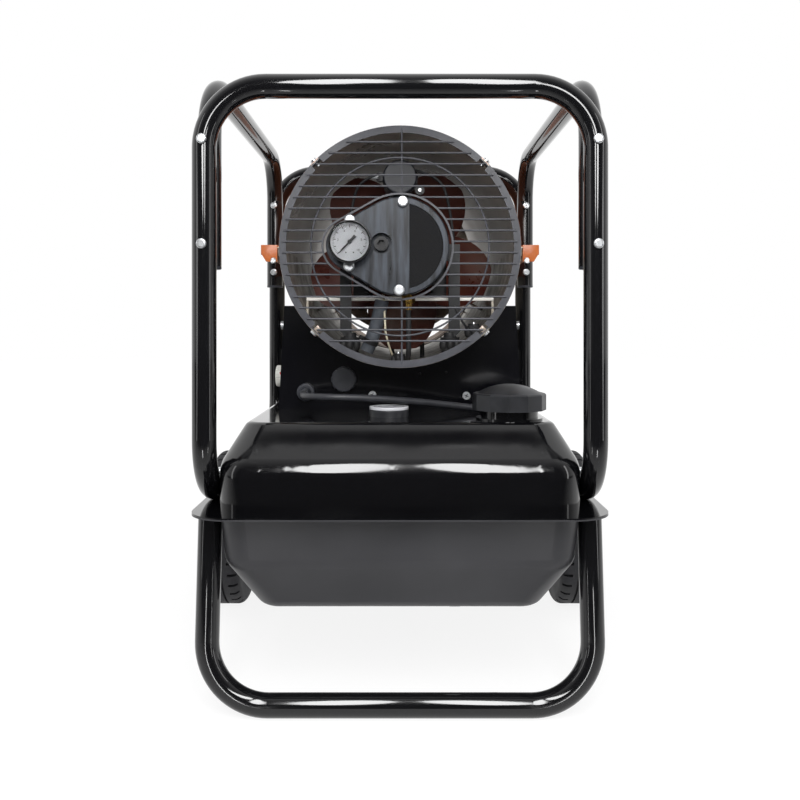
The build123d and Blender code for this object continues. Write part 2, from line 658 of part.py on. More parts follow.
def gauge_lenses():
    """The clear covers of the tank gauge and of the pressure gauge."""
    tank_lens = rod(GAUGE_R - 3 - 0.1, 1.8, GAUGE_X, GAUGE_Y, GAUGE_TOP_Z - 1.8)
    front = PUMP_FACE_Y - DIAL_REACH
    dial_lens = rod(DIAL_R - 1.6, 1.5, DIAL_X, front + 1, DIAL_Z, "y")
    return group([tank_lens, dial_lens])


def fuel_pickup():
    """The pipe that draws fuel from the tank, with its strainer foot and its union."""
    pipe = rod(3, TANK_TOP_Z - TANK_BOTTOM_Z - 15, PICKUP_X, PICKUP_Y, TANK_BOTTOM_Z + 14)
    pipe += rod(9, 24, PICKUP_X, PICKUP_Y, TANK_BOTTOM_Z + 6)
    pipe += rod(PICKUP_R, 12, PICKUP_X, PICKUP_Y, TANK_TOP_Z - 8)
    top = TANK_TOP_Z + SHEET
    return pipe + hexagon(17, 8, PICKUP_X, PICKUP_Y, top) + rod(4, 10, PICKUP_X, PICKUP_Y, top + 6)


# ---- wheels ----
def wheel_bracket(side):
    """The angle plate under the rail that carries one stub axle."""
    x1 = BRACKET_X - BRACKET_THICK
    inner = TANK_HALF_WIDTH + 1
    y0, y1 = WHEEL_Y - BRACKET_HALF_LENGTH, WHEEL_Y + BRACKET_HALF_LENGTH
    shelf = block(inner, BRACKET_X, y0, y1, FLANGE_BOTTOM_Z - BRACKET_THICK, FLANGE_BOTTOM_Z)
    wheel_z = WHEEL_R
    outline = make_face(
        Polyline(
            (y0, FLANGE_BOTTOM_Z),
            (y1, FLANGE_BOTTOM_Z),
            (y1, FLANGE_BOTTOM_Z - 22),
            (WHEEL_Y + 20, wheel_z - 18),
            (WHEEL_Y - 20, wheel_z - 18),
            (y0, FLANGE_BOTTOM_Z - 22),
            close=True,
        )
    )
    low = [v for v in outline.vertices() if v.Y < FLANGE_BOTTOM_Z - 30]
    plate = along_x(fillet(low, 14), x1, BRACKET_X)
    plate -= rod(AXLE_R + SCREW_PLAY, 10, x1 - 3, WHEEL_Y, wheel_z, "x")
    bracket = shelf + plate
    for y in RAIL_BOLT_YS[1:]:
        bracket -= rod(RAIL_BOLT_R + SCREW_PLAY, 10, HOOP_X, y, FLANGE_BOTTOM_Z - 6)
    return bracket if side > 0 else mirrored(bracket)


def wheel_brackets():
    """Both wheel brackets."""
    return group([wheel_bracket(side) for side in SIDES])


def stub_axles():
    """Stub axles with their inner nuts and outer caps, each a separate solid."""
    solids = []
    nut_x = BRACKET_X - BRACKET_THICK - 8
    hub_end = HUB_INNER_X + HUB_LENGTH
    axle = rod(AXLE_R, hub_end + 5 - nut_x, nut_x, WHEEL_Y, WHEEL_R, "x")
    axle += rod(HUB_R - 4, HUB_INNER_X - GAP - BRACKET_X, BRACKET_X, WHEEL_Y, WHEEL_R, "x")
    nut = hexagon(22, 8, nut_x, WHEEL_Y, WHEEL_R, "x") - rod(AXLE_R, 8, nut_x, WHEEL_Y, WHEEL_R, "x")
    cap_x = hub_end + GAP
    cap = rod(HUB_R - 3, 7, cap_x, WHEEL_Y, WHEEL_R, "x")
    cap = fillet(cap.edges().sort_by(Axis.X)[-1], 3)
    cap -= rod(AXLE_R, 5 - GAP, cap_x, WHEEL_Y, WHEEL_R, "x")
    for piece in (axle, nut, cap):
        solids += [piece, mirrored(piece)]
    return group(solids)


def tyre():
    """The right tyre: a rounded ring with blocks cut along both shoulders."""
    half = WHEEL_WIDTH / 2
    outline = Pos(RIM_R + (WHEEL_R - RIM_R) / 2, 0) * RectangleRounded(WHEEL_R - RIM_R, WHEEL_WIDTH, 11)
    body = revolve(outline, Axis.Y, 360)
    body -= ring(WHEEL_R + 1, WHEEL_R - 4, 3, 0, -1.5, 0, "y")
    depth = 5.0
    cutters = []
    for k in range(TREAD_BLOCKS):
        turn = Rot(0, 360 / TREAD_BLOCKS * k, 0)
        notch = block(-2.2, 2.2, half - 15, half + 1, WHEEL_R - depth, WHEEL_R + 1)
        cutters.append(turn * notch)
        half_step = Rot(0, 360 / TREAD_BLOCKS * (k + 0.5), 0)
        notch = block(-2.2, 2.2, -half - 1, -half + 15, WHEEL_R - depth, WHEEL_R + 1)
        cutters.append(half_step * notch)
    body -= cutters
    return Pos(WHEEL_MIDDLE_X, WHEEL_Y, WHEEL_R) * Rot(0, 0, -90) * body


def rim():
    """The right wheel's pressed disc, rim and hub."""
    half = WHEEL_WIDTH / 2 - 4
    x0 = WHEEL_MIDDLE_X - half
    edge = RIM_R - GAP / 3
    drum = ring(edge, edge - 3, 2 * half, x0, WHEEL_Y, WHEEL_R, "x")
    drum += rod(edge - 1, 4, WHEEL_MIDDLE_X - 2, WHEEL_Y, WHEEL_R, "x")
    for k in range(5):
        hole = rod(12, 20, WHEEL_MIDDLE_X - 10, 0, 46, "x")
        drum -= Pos(0, WHEEL_Y, WHEEL_R) * Rot(72 * k, 0, 0) * hole
    drum += rod(HUB_R, HUB_LENGTH, HUB_INNER_X, WHEEL_Y, WHEEL_R, "x")
    return drum - rod(AXLE_R + RUN_FIT, HUB_LENGTH + 2, HUB_INNER_X - 1, WHEEL_Y, WHEEL_R, "x")


# ---- barrel ----
def half_shell(upper):
    """Half of the barrel with its side flanges."""
    sheet = BARREL_SHEET
    length = BARREL_FRONT_Y - BARREL_REAR_Y
    shell = ring(BARREL_R, BARREL_BORE_R, length, 0, BARREL_REAR_Y, AXIS_Z, "y")
    keep_z = (AXIS_Z, AXIS_Z + 200) if upper else (AXIS_Z - 200, AXIS_Z)
    shell &= block(-200, 200, BARREL_REAR_Y, BARREL_FRONT_Y, *keep_z)
    edge = BARREL_FLANGE_X if upper else BARREL_FLANGE_X - 2 * sheet
    z0 = AXIS_Z if upper else AXIS_Z - sheet
    for side in SIDES:
        x0, x1 = side * (BARREL_BORE_R + 0.2), side * edge
        shell += block(x0, x1, BARREL_REAR_Y, BARREL_FRONT_Y, z0, z0 + sheet)
        if upper:
            low_z = AXIS_Z - BARREL_LIP
            shell += block(x1 - side * sheet, x1, BARREL_REAR_Y, BARREL_FRONT_Y, low_z, AXIS_Z + sheet)
        for y in SHELL_SCREW_YS:
            shell -= rod(SMALL_SCREW_R + SCREW_PLAY, 8, side * shell_screw_x(), y, AXIS_Z - 4)
    return shell


def shell_screw_x():
    """Where the screws through the barrel's flanges stand."""
    return (BARREL_R + BARREL_FLANGE_X) / 2


def upper_shell():
    """The upper half of the barrel, with folded flanges."""
    shell = half_shell(True)
    for angle in GUARD_CLIP_ANGLES[:2]:
        shell -= guard_screw_hole(angle)
    return shell


def lower_shell():
    """The lower half of the barrel, with holes for fuel line and wiring."""
    shell = half_shell(False)
    shell -= rod(LINE_R + 2, 30, FUEL_LINE_X, FUEL_LINE_Y, AXIS_Z - BARREL_R - 10)
    for angle in GUARD_CLIP_ANGLES[2:]:
        shell -= guard_screw_hole(angle)
    return shell


def outlet_ring():
    """The nozzle ring in the barrel's mouth."""
    fit = BARREL_BORE_R - GAP
    start = BARREL_FRONT_Y - OUTLET_OVERLAP
    collar_start = BARREL_FRONT_Y + 1
    outside = [
        (fit, start),
        (fit, BARREL_FRONT_Y - 2),
        (OUTLET_COLLAR_R, collar_start),
        (OUTLET_COLLAR_R, collar_start + OUTLET_COLLAR),
        (OUTLET_MOUTH_R, OUTLET_END_Y),
    ]
    inside = [(r - SHEET, y) for r, y in reversed(outside)]
    return turned(outside + inside)


def combustion_chamber():
    """The inner tube where the fuel burns, on struts inside the barrel."""
    length = CHAMBER_FRONT_Y - CHAMBER_REAR_Y
    tube = ring(CHAMBER_R, CHAMBER_R - SHEET, length, 0, CHAMBER_REAR_Y, AXIS_Z, "y")
    tube += ring(CHAMBER_R, CHAMBER_BORE_R, SHEET, 0, CHAMBER_REAR_Y, AXIS_Z, "y")
    reach = BARREL_BORE_R - GAP
    for y in (CHAMBER_REAR_Y + 20, CHAMBER_FRONT_Y - 60):
        for angle in (0, 120, 240):
            strut = block(-1, 1, y, y + 25, CHAMBER_R - 1, reach)
            tube += Pos(0, 0, AXIS_Z) * Rot(0, angle, 0) * strut
    rear_holes = []
    for k in range(12):
        hole = rod(CHAMBER_HOLE_R, 3 * SHEET, 0, CHAMBER_REAR_Y - SHEET, CHAMBER_R - CHAMBER_HOLE_INSET, "y")
        rear_holes.append(Pos(0, 0, AXIS_Z) * Rot(0, 30 * k, 0) * hole)
    return tube - rear_holes


def flame_baffle():
    """The target disc in the chamber's mouth, on three arms."""
    y = CHAMBER_FRONT_Y - BAFFLE_ARM
    disc_r = CHAMBER_R - BAFFLE_ROOM
    disc = rod(disc_r, BAFFLE_SHEET, 0, y, AXIS_Z, "y")
    reach = CHAMBER_R - SHEET - GAP
    half = BAFFLE_ARM / 2
    for angle in (60, 180, 300):
        arm = block(-half, half, y, y + BAFFLE_SHEET, disc_r - half, reach)
        arm += block(-half, half, y, y + BAFFLE_ARM, reach - SHEET, reach)
        disc += Pos(0, 0, AXIS_Z) * Rot(0, angle, 0) * arm
    return disc & rod(reach, 3 * BAFFLE_ARM, 0, y - BAFFLE_ARM, AXIS_Z, "y")


def burner_head():
    """The plate and holder that carry nozzle and electrodes, with swirl slots."""
    front = CHAMBER_REAR_Y - GAP / 3
    head = rod(BURNER_FLANGE_R, 2, 0, front - 2, AXIS_Z, "y")
    head += rod(20, front - BURNER_REAR_Y, 0, BURNER_REAR_Y, AXIS_Z, "y")
    slots = []
    for k in range(8):
        slot = block(-3, 3, front - 4, front + 2, 28, 42)
        slots.append(Pos(0, 0, AXIS_Z) * Rot(0, 45 * k, 0) * slot)
    head -= slots
    head -= rod(NOZZLE_R + GAP / 3, 30, 0, front - 12, AXIS_Z, "y")
    for x, z in ELECTRODES:
        head -= rod(ELECTRODE_R + GAP / 3, 60, x, BURNER_REAR_Y - 5, z, "y")
    for x in (-LINE_X, LINE_X):
        head -= rod(LINE_R - 1 + GAP / 3, 8, x, BURNER_REAR_Y, AXIS_Z, "y")
    return head


def fuel_nozzle():
    """The atomising nozzle."""
    front = CHAMBER_REAR_Y - GAP / 3
    nozzle = rod(NOZZLE_R, 12, 0, front - 12, AXIS_Z, "y") + hexagon(14, 8, 0, front, AXIS_Z, "y")
    nozzle += taper(6, 3.5, 5, 0, front + 8, AXIS_Z, "y")
    return nozzle - rod(0.6, 8, 0, front + 6, AXIS_Z, "y")


def igniter_electrodes():
    """Two ceramic rods with wire tips that meet over the nozzle."""
    solids = []
    for x, z in ELECTRODES:
        stick = rod(ELECTRODE_R, 52, x, BURNER_REAR_Y - 8, z, "y")
        solids.append(stick + rod(1, 10, x, BURNER_REAR_Y + 43, z, "y"))
    return group(solids)


# ---- lines for fuel and air ----
def fuel_line():
    """The hose from the tank's pick-up to the burner head."""
    start_z = TANK_TOP_Z + SHEET + 16
    points = [
        (PICKUP_X, PICKUP_Y, start_z),
        (PICKUP_X, PICKUP_Y, start_z + 20),
        (FUEL_LINE_X, FUEL_LINE_Y, start_z + 20),
        (FUEL_LINE_X, FUEL_LINE_Y, AXIS_Z - 80),
        (LINE_X, FUEL_LINE_Y - 4, AXIS_Z),
        (LINE_X, BURNER_REAR_Y + 1, AXIS_Z),
    ]
    path = FilletPolyline(*points, radius=[14, 14, 20, 9])
    return swept(path, LINE_R - 1)


def air_line():
    """The pipe from the pump's outlet along the barrel's bottom to the burner head."""
    low_z = AXIS_Z - BARREL_BORE_R + 7
    pump_y = PUMP_COVER_FRONT_Y + 12
    points = [
        (AIR_FITTING_X, pump_y, AXIS_Z - PUMP_R - 16 - GAP),
        (AIR_FITTING_X, pump_y, low_z),
        (-LINE_X, FUEL_LINE_Y - 6, low_z),
        (-LINE_X, FUEL_LINE_Y - 6, AXIS_Z),
        (-LINE_X, BURNER_REAR_Y + 1, AXIS_Z),
    ]
    path = FilletPolyline(*points, radius=[14, 14, 9])
    return swept(path, LINE_R - 1)


def air_fitting():
    """The brass union on the underside of the pump."""
    y = PUMP_COVER_FRONT_Y + 12
    top = AXIS_Z - sqrt(PUMP_R**2 - AIR_FITTING_X**2)
    fitting = rod(4, top + 6 - (AXIS_Z - PUMP_R - 16), AIR_FITTING_X, y, AXIS_Z - PUMP_R - 16)
    return fitting + hexagon(13, 8, AIR_FITTING_X, y, top - 9)


# ---- control box ----
def box_outline(shrink):
    """The box's end outline: sides that lean in, and a round bed for the barrel."""
    low, high = BOX_BOTTOM_HALF_WIDTH - shrink, BOX_TOP_HALF_WIDTH - shrink
    base = TANK_TOP_Z
    face = make_face(
        Polyline((-low, base), (low, base), (high, BOX_TOP_Z), (-high, BOX_TOP_Z), close=True)
    )
    return face - Pos(0, AXIS_Z) * Circle(BARREL_R + GAP)


def box_foot_places():
    """X and Y of the screws that hold the box to the tank."""
    return [(x, y) for x in (-120.0, 120.0) for y in (BOX_REAR_Y + 30, BOX_FRONT_Y - 30)]


def cover_screw_places():
    """X, Y and Z of the outer face under each side cover screw on the right."""
    lean = (BOX_BOTTOM_HALF_WIDTH - BOX_TOP_HALF_WIDTH) / (BOX_TOP_Z - TANK_TOP_Z)
    x = BOX_BOTTOM_HALF_WIDTH - lean * (COVER_SCREW_Z - TANK_TOP_Z)
    return [(x, y, COVER_SCREW_Z) for y in (BOX_REAR_Y + BOX_LIP / 2, BOX_FRONT_Y - BOX_LIP / 2)]


def control_box():
    """The folded tray of the box: floor, two end walls and the lips for the side covers."""
    rear, front = BOX_REAR_Y, BOX_FRONT_Y
    end = box_outline(SHEET)
    walls = along_y(end, rear, rear + SHEET) + along_y(end, front - SHEET, front)
    low = BOX_BOTTOM_HALF_WIDTH - SHEET
    tray = walls + block(-low, low, rear, front, TANK_TOP_Z, TANK_TOP_Z + SHEET)
    strip = box_outline(SHEET) - box_outline(2 * SHEET)
    strip -= Rectangle(200, 2000)
    for y0, y1 in ((rear, rear + BOX_LIP), (front - BOX_LIP, front)):
        tray += along_y(strip, y0, y1)
    tray -= block(-200, 200, rear, front, BOX_TOP_Z - SHEET, BOX_TOP_Z + 1)
    tray -= rod(GLAND_R - 3 + SCREW_PLAY, 10, GLAND_X, rear - 5, GLAND_Z, "y")
    tray -= rod(SOCKET_R - 3 + SCREW_PLAY, 10, SOCKET_X, rear - 5, SOCKET_Z, "y")
    for x, z in BOX_REAR_SCREWS:
        tray -= rod(SMALL_SCREW_R + SCREW_PLAY, 10, x, rear - 5, z, "y")
    for x, y in box_foot_places():
        tray -= rod(SMALL_SCREW_R + SCREW_PLAY, 10, x, y, TANK_TOP_Z - 5)
    tray -= rod(PICKUP_R + 5, 10, PICKUP_X, PICKUP_Y, TANK_TOP_Z - 5)
    for side in SIDES:
        for x, y, z in cover_screw_places():
            tray -= rod(SMALL_SCREW_R + SCREW_PLAY, 20, side * x - 10, y, z, "x")
    return tray


def side_cover():
    """The right cover: a leaning plate that folds in over the box beside the barrel."""
    skin = box_outline(0) - box_outline(SHEET - 0.1)
    skin -= Rectangle(160, 2000)
    rim = box_outline(0) & (Pos(0, BOX_TOP_Z) * Rectangle(400, 2 * (SHEET - 0.1)))
    sheet = along_y(skin + rim, BOX_REAR_Y, BOX_FRONT_Y) & block(0, 200, 0, 600, TANK_TOP_Z + GAP, 500)
    for x, y, z in cover_screw_places():
        sheet -= rod(SMALL_SCREW_R + SCREW_PLAY, 20, x - 10, y, z, "x")
    return sheet


def control_panel():
    """The left cover, with a boss for the knob and the opening for the switch."""
    panel = mirrored(side_cover())
    face = BOX_BOTTOM_HALF_WIDTH + 0.5
    wall = BOX_TOP_HALF_WIDTH - 1
    panel += rod(KNOB_R + 4, face - wall, -face, KNOB_Y, KNOB_Z, "x")
    y0, y1 = SWITCH_Y - SWITCH_HALF_Y - 4, SWITCH_Y + SWITCH_HALF_Y + 4
    z0, z1 = SWITCH_Z - SWITCH_HALF_Z - 4, SWITCH_Z + SWITCH_HALF_Z + 4
    panel += block(-face, -wall + 12, y0, y1, z0, z1)
    panel -= rod(3 + RUN_FIT, 30, -face - 5, KNOB_Y, KNOB_Z, "x")
    half_y, half_z = SWITCH_HALF_Y + GAP, SWITCH_HALF_Z + GAP
    y0, y1 = SWITCH_Y - half_y, SWITCH_Y + half_y
    z0, z1 = SWITCH_Z - half_z, SWITCH_Z + half_z
    panel -= block(-face - 1, -wall + 9, y0, y1, z0, z1)
    panel -= rod(1.5 + RUN_FIT, 2 * half_y + 6, SWITCH_PIVOT_X, SWITCH_Y - half_y - 3, SWITCH_Z, "y")
    return panel


def rocker_switch():
    """The on and off rocker, on a pin along Y."""
    outline = make_face(
        Polyline(
            (SWITCH_PIVOT_X - 8.5, SWITCH_Z - SWITCH_HALF_Z + 1),
            (SWITCH_PIVOT_X - 6.0, SWITCH_Z),
            (SWITCH_PIVOT_X - 8.5, SWITCH_Z + SWITCH_HALF_Z - 1),
            (SWITCH_PIVOT_X + 3, SWITCH_Z + SWITCH_HALF_Z - 2),
            (SWITCH_PIVOT_X + 3, SWITCH_Z - SWITCH_HALF_Z + 2),
            close=True,
        )
    )
    rocker = along_y(outline, SWITCH_Y - SWITCH_HALF_Y, SWITCH_Y + SWITCH_HALF_Y)
    rocker = rocker.rotate(Axis((SWITCH_PIVOT_X, 0, SWITCH_Z), (0, 1, 0)), -SWITCH_TILT)
    pin_y = SWITCH_Y - SWITCH_HALF_Y - 2.5
    return rocker + rod(1.5, 2 * SWITCH_HALF_Y + 5, SWITCH_PIVOT_X, pin_y, SWITCH_Z, "y")


def thermostat_knob():
    """The knob that sets the room temperature, on its spindle."""
    face = BOX_BOTTOM_HALF_WIDTH + 0.5 + GAP
    knob = rod(KNOB_R, KNOB_REACH - 1, -face - KNOB_REACH + 1, KNOB_Y, KNOB_Z, "x")
    knob = fillet(knob.edges().sort_by(Axis.X)[0], 2)
    grooves = []
    for k in range(18):
        groove = rod(1, KNOB_REACH - 4, -face - KNOB_REACH - 1, 0, KNOB_R, "x")
        grooves.append(Pos(0, KNOB_Y, KNOB_Z) * Rot(20 * k, 0, 0) * groove)
    knob -= grooves
    mark_x = -face - KNOB_REACH
    knob -= block(mark_x, mark_x + 2, KNOB_Y - 0.8, KNOB_Y + 0.8, KNOB_Z + 3, KNOB_Z + KNOB_R)
    return knob + rod(3, 14, -face - 1, KNOB_Y, KNOB_Z, "x")


def control_board():
    """The printed board on its standoffs, with its parts."""
    z = TANK_TOP_Z + SHEET
    top = z + BOARD_LIFT + BOARD_THICK
    board = block(BOARD_X0, BOARD_X1, BOARD_Y0, BOARD_Y1, z + BOARD_LIFT, top)
    for x in (BOARD_X0 + BOARD_LIFT, BOARD_X1 - BOARD_LIFT):
        for y in (BOARD_Y0 + BOARD_LIFT, BOARD_Y1 - BOARD_LIFT):
            board += rod(BOARD_LIFT / 2, BOARD_LIFT + BOARD_THICK / 2, x, y, z)
    for dx, dy, size, high in BOARD_PARTS:
        x, y = BOARD_X0 + dx, BOARD_Y0 + dy
        board += block(x, x + size, y, y + size * 0.8, top - BOARD_THICK / 2, top + high)
    return board


def ignition_transformer():
    """The spark transformer, a potted block with two high voltage terminals."""
    z = TANK_TOP_Z + SHEET
    top = AXIS_Z - BARREL_R - SPARK_ROOM
    body = block(SPARK_X0, SPARK_X1, SPARK_Y0, SPARK_Y1, z, top)
    body = fillet(body.edges().filter_by(Axis.Z), 4)
    for y in (SPARK_Y0 + 2 * SPARK_FOOT, SPARK_Y1 - 2 * SPARK_FOOT):
        body += rod(SPARK_POST_R, SPARK_POST + 1, SPARK_X1 - 2 * SPARK_FOOT, y, top - 1)
    foot = block(
        SPARK_X0 - SPARK_FOOT, SPARK_X0 + 1, SPARK_Y0 + SPARK_FOOT, SPARK_Y1 - SPARK_FOOT, z, z + SHEET
    )
    return body + foot


def cable_gland():
    """The gland and bend relief of the mains lead in the rear wall."""
    nose = taper(CORD_R + 1.2, GLAND_R - 4, GLAND_NOSE - 7, GLAND_X, BOX_REAR_Y - GLAND_NOSE, GLAND_Z, "y")
    nut = rod(GLAND_R, 7, GLAND_X, BOX_REAR_Y - 7, GLAND_Z, "y")
    nut = fillet(nut.edges().sort_by(Axis.Y)[0], 2)
    body = nose + nut + rod(GLAND_R - 3, SHEET + 8, GLAND_X, BOX_REAR_Y - 1, GLAND_Z, "y")
    lock = BOX_REAR_Y + SHEET
    return body + hexagon(22, 5, GLAND_X, lock, GLAND_Z, "y")


def thermostat_socket():
    """The ribbed cap of the socket for a room thermostat."""
    y = BOX_REAR_Y - SOCKET_REACH
    cap = rod(SOCKET_R, SOCKET_REACH, SOCKET_X, y, SOCKET_Z, "y")
    cap = fillet(cap.edges().sort_by(Axis.Y)[0], 2)
    grooves = []
    for k in range(10):
        groove = rod(1.8, SOCKET_REACH - 3, 0, y - 1, SOCKET_R, "y")
        grooves.append(Pos(SOCKET_X, 0, SOCKET_Z) * Rot(0, 36 * k, 0) * groove)
    cap -= grooves
    return cap + rod(SOCKET_R - 3, SHEET + 13, SOCKET_X, BOX_REAR_Y - 1, SOCKET_Z, "y")


# ---- motor and fan ----
def motor_strap(side):
    """One of the two straps that stand beside the motor, down to a rubber foot on the barrel."""
    inner, outer = side * (STRAP_X - STRAP_HALF), side * (STRAP_X + STRAP_HALF)
    outline = make_face(
        Polyline(
            (side * (MOTOR_R - MOTOR_WALL), AXIS_Z + STRAP_HALF),
            (outer, AXIS_Z + STRAP_HALF),
            (outer, STRAP_LOW_Z + STRAP_HALF),
            (side * STRAP_X, STRAP_LOW_Z),
            (inner, STRAP_LOW_Z),
            (inner, AXIS_Z - 2 * STRAP_HALF),
            (side * (MOTOR_R - MOTOR_WALL), AXIS_Z - STRAP_HALF),
            close=True,
        )
    )
    return along_y(outline, STRAP_Y0, STRAP_Y1)


def motor_body():
    """The motor's case with its two feet, the two straps beside it and the capacitor's saddle."""
    case = rod(MOTOR_R, MOTOR_FRONT_Y - MOTOR_REAR_Y, 0, MOTOR_REAR_Y, AXIS_Z, "y")
    inside = MOTOR_FRONT_Y - MOTOR_REAR_Y - 2 * MOTOR_END
    case -= rod(MOTOR_BORE_R, inside, 0, MOTOR_REAR_Y + MOTOR_END, AXIS_Z, "y")
    hollow = rod(MOTOR_R - 1, 3 * inside, 0, MOTOR_REAR_Y - inside, AXIS_Z, "y")
    between = block(
        -MOTOR_R + 7, MOTOR_R - 7, MOTOR_REAR_Y, MOTOR_FRONT_Y, BRACKET_TOP_Z + MOTOR_END, AXIS_Z
    )
    for side in SIDES:
        x0, x1 = side * (MOTOR_R - 12), side * (MOTOR_R + 10)
        foot = block(x0, x1, MOTOR_FOOT_Y0, MOTOR_FOOT_Y1, BRACKET_TOP_Z, AXIS_Z)
        case += foot - hollow - between
        case += motor_strap(side) - hollow
    half, saddle_y = SADDLE_LENGTH / 2, MOTOR_FOOT_Y0
    saddle = block(-half, half, saddle_y, saddle_y + SADDLE_LENGTH, AXIS_Z + MOTOR_R - 3, CAPACITOR_Z - 8)
    bed = rod(CAPACITOR_R + GAP, 2 * SADDLE_LENGTH, 0, saddle_y - half, CAPACITOR_Z, "y")
    case += saddle - hollow - bed
    return case - rod(SHAFT_R + RUN_FIT, 3 * inside, 0, MOTOR_REAR_Y - inside, AXIS_Z, "y")


def motor_stator():
    """The motor's fixed windings and core."""
    length = MOTOR_FRONT_Y - MOTOR_REAR_Y - 2 * MOTOR_END - 16
    start = MOTOR_REAR_Y + MOTOR_END + 8
    return ring(MOTOR_BORE_R - 0.1, ROTOR_R + 0.5, length, 0, start, AXIS_Z, "y")


def motor_shaft():
    """The shaft with the motor's rotor, from the pump to the fan."""
    shaft = rod(SHAFT_R, FAN_Y + 22 - PUMP_COVER_FRONT_Y - 1, 0, PUMP_COVER_FRONT_Y + 1, AXIS_Z, "y")
    return shaft + rod(ROTOR_R, MOTOR_FRONT_Y - MOTOR_REAR_Y - 34, 0, MOTOR_REAR_Y + 17, AXIS_Z, "y")


def motor_bracket():
    """The zinc plate across the barrel that carries the motor."""
    z0 = BRACKET_TOP_Z - BRACKET_SHEET
    half = BRACKET_HALF_WIDTH
    plate = block(-half, half, BRACKET_REAR_Y, BRACKET_FRONT_Y, z0, BRACKET_TOP_Z)
    foot_z = AXIS_Z - sqrt(BARREL_BORE_R**2 - half**2) + GAP
    for side in SIDES:
        x0, x1 = side * (half - BRACKET_SHEET), side * half
        plate += block(x0, x1, BRACKET_REAR_Y, BRACKET_FRONT_Y, foot_z, BRACKET_TOP_Z)
    return plate


def motor_capacitor():
    """The motor's capacitor, lying on its saddle."""
    can = rod(CAPACITOR_R, CAPACITOR_LENGTH, 0, CAPACITOR_REAR_Y, CAPACITOR_Z, "y")
    can = fillet(can.edges().sort_by(Axis.Y)[0], 2.5)
    end = CAPACITOR_REAR_Y + CAPACITOR_LENGTH
    return can + rod(CAPACITOR_R - 6, 6, 0, end - 1, CAPACITOR_Z, "y")


def fan_blade():
    """One blade, upright over the shaft, leaning by the pitch."""
    root_middle = (FAN_HUB_R + BLADE_HALF_WIDTH) / 2
    lobe = Pos(0, BLADE_MIDDLE) * Ellipse(BLADE_HALF_WIDTH, BLADE_HALF_LENGTH)
    outline = lobe + Pos(0, root_middle) * Rectangle(BLADE_ROOT_WIDTH, 2 * (root_middle - FAN_HUB_R / 2))
    sheet = Rot(90, 0, 0) * extrude(outline, amount=FAN_SHEET / 2, both=True)
    blade = Rot(0, 0, FAN_PITCH) * sheet
    blade &= rod(FAN_R, 2 * BLADE_HALF_WIDTH, 0, -BLADE_HALF_WIDTH, 0, "y")
    return blade - rod(FAN_HUB_R - 3, 2 * BLADE_HALF_WIDTH, 0, -BLADE_HALF_WIDTH, 0, "y")


def fan_impeller():
    """The fan: five broad blades on a hub."""
    fan = rod(FAN_HUB_R, FAN_HUB_LENGTH, 0, FAN_Y - FAN_HUB_LENGTH / 2, AXIS_Z, "y")
    blade = fan_blade()
    for k in range(FAN_BLADES):
        turn = Rot(0, -(FAN_START + 360 / FAN_BLADES * k - 90), 0)
        fan += Pos(0, FAN_Y, AXIS_Z) * turn * blade
    return fan - rod(SHAFT_R + 0.02, 2 * FAN_HUB_LENGTH, 0, FAN_Y - FAN_HUB_LENGTH, AXIS_Z, "y")


# ---- pump ----
def pump_outline(shrink=0.0):
    """The pump seen from the fan end: a round housing with a lobe under the gauge."""
    big = Pos(0, AXIS_Z) * Circle(PUMP_R - shrink)
    small = Pos(PUMP_LOBE_X, AXIS_Z + 1) * Circle(PUMP_LOBE_R - shrink)
    return make_hull([big.edges()[0], small.edges()[0]])


def filter_outline(shrink):
    """The D shape of the intake filter."""
    chord = FILTER_CHORD_X + shrink
    return (Pos(0, AXIS_Z) * Circle(FILTER_R - shrink)) & (Pos(chord + 100, AXIS_Z) * Rectangle(200, 200))


def pump_cover():
    """The pump's front cover with pocket for the filter, seats for gauge, screw and bolts."""
    cover = along_y(pump_outline(), PUMP_FACE_Y, PUMP_COVER_FRONT_Y)
    cover = chamfer(cover.edges().group_by(Axis.Y)[0], 1.2)
    cover -= along_y(filter_outline(0), PUMP_FACE_Y - 1, PUMP_FACE_Y + FILTER_DEPTH)
    cover -= rod(SCREW_RECESS_R, 10, SCREW_X, PUMP_FACE_Y, SCREW_Z, "y")
    cover -= rod(SCREW_R + RUN_FIT, 40, SCREW_X, PUMP_FACE_Y, SCREW_Z, "y")
    cover -= rod(DIAL_STEM_R + GAP / 3, 12, DIAL_X, PUMP_FACE_Y, DIAL_Z, "y")
    for x, z in COVER_SCREWS:
        cover -= rod(COVER_SCREW_R + SCREW_PLAY, 40, x, PUMP_FACE_Y - 5, z, "y")
    return cover


def pump_body():
    """The pump's housing with its eccentric chamber, screwed to the motor."""
    body = along_y(pump_outline(), PUMP_COVER_FRONT_Y, MOTOR_REAR_Y)
    body -= rod(PUMP_CAVITY_R, PUMP_ROTOR_LENGTH + 2 * GAP, PUMP_OFFSET, PUMP_COVER_FRONT_Y, AXIS_Z, "y")
    body -= rod(SHAFT_R + RUN_FIT, 60, 0, PUMP_COVER_FRONT_Y - 5, AXIS_Z, "y")
    body -= rod(4 + GAP / 3, 8, AIR_FITTING_X, PUMP_COVER_FRONT_Y + 12, AXIS_Z - PUMP_R)
    for x, z in COVER_SCREWS:
        body -= rod(COVER_SCREW_R, 15, x, PUMP_COVER_FRONT_Y, z, "y")
    return body


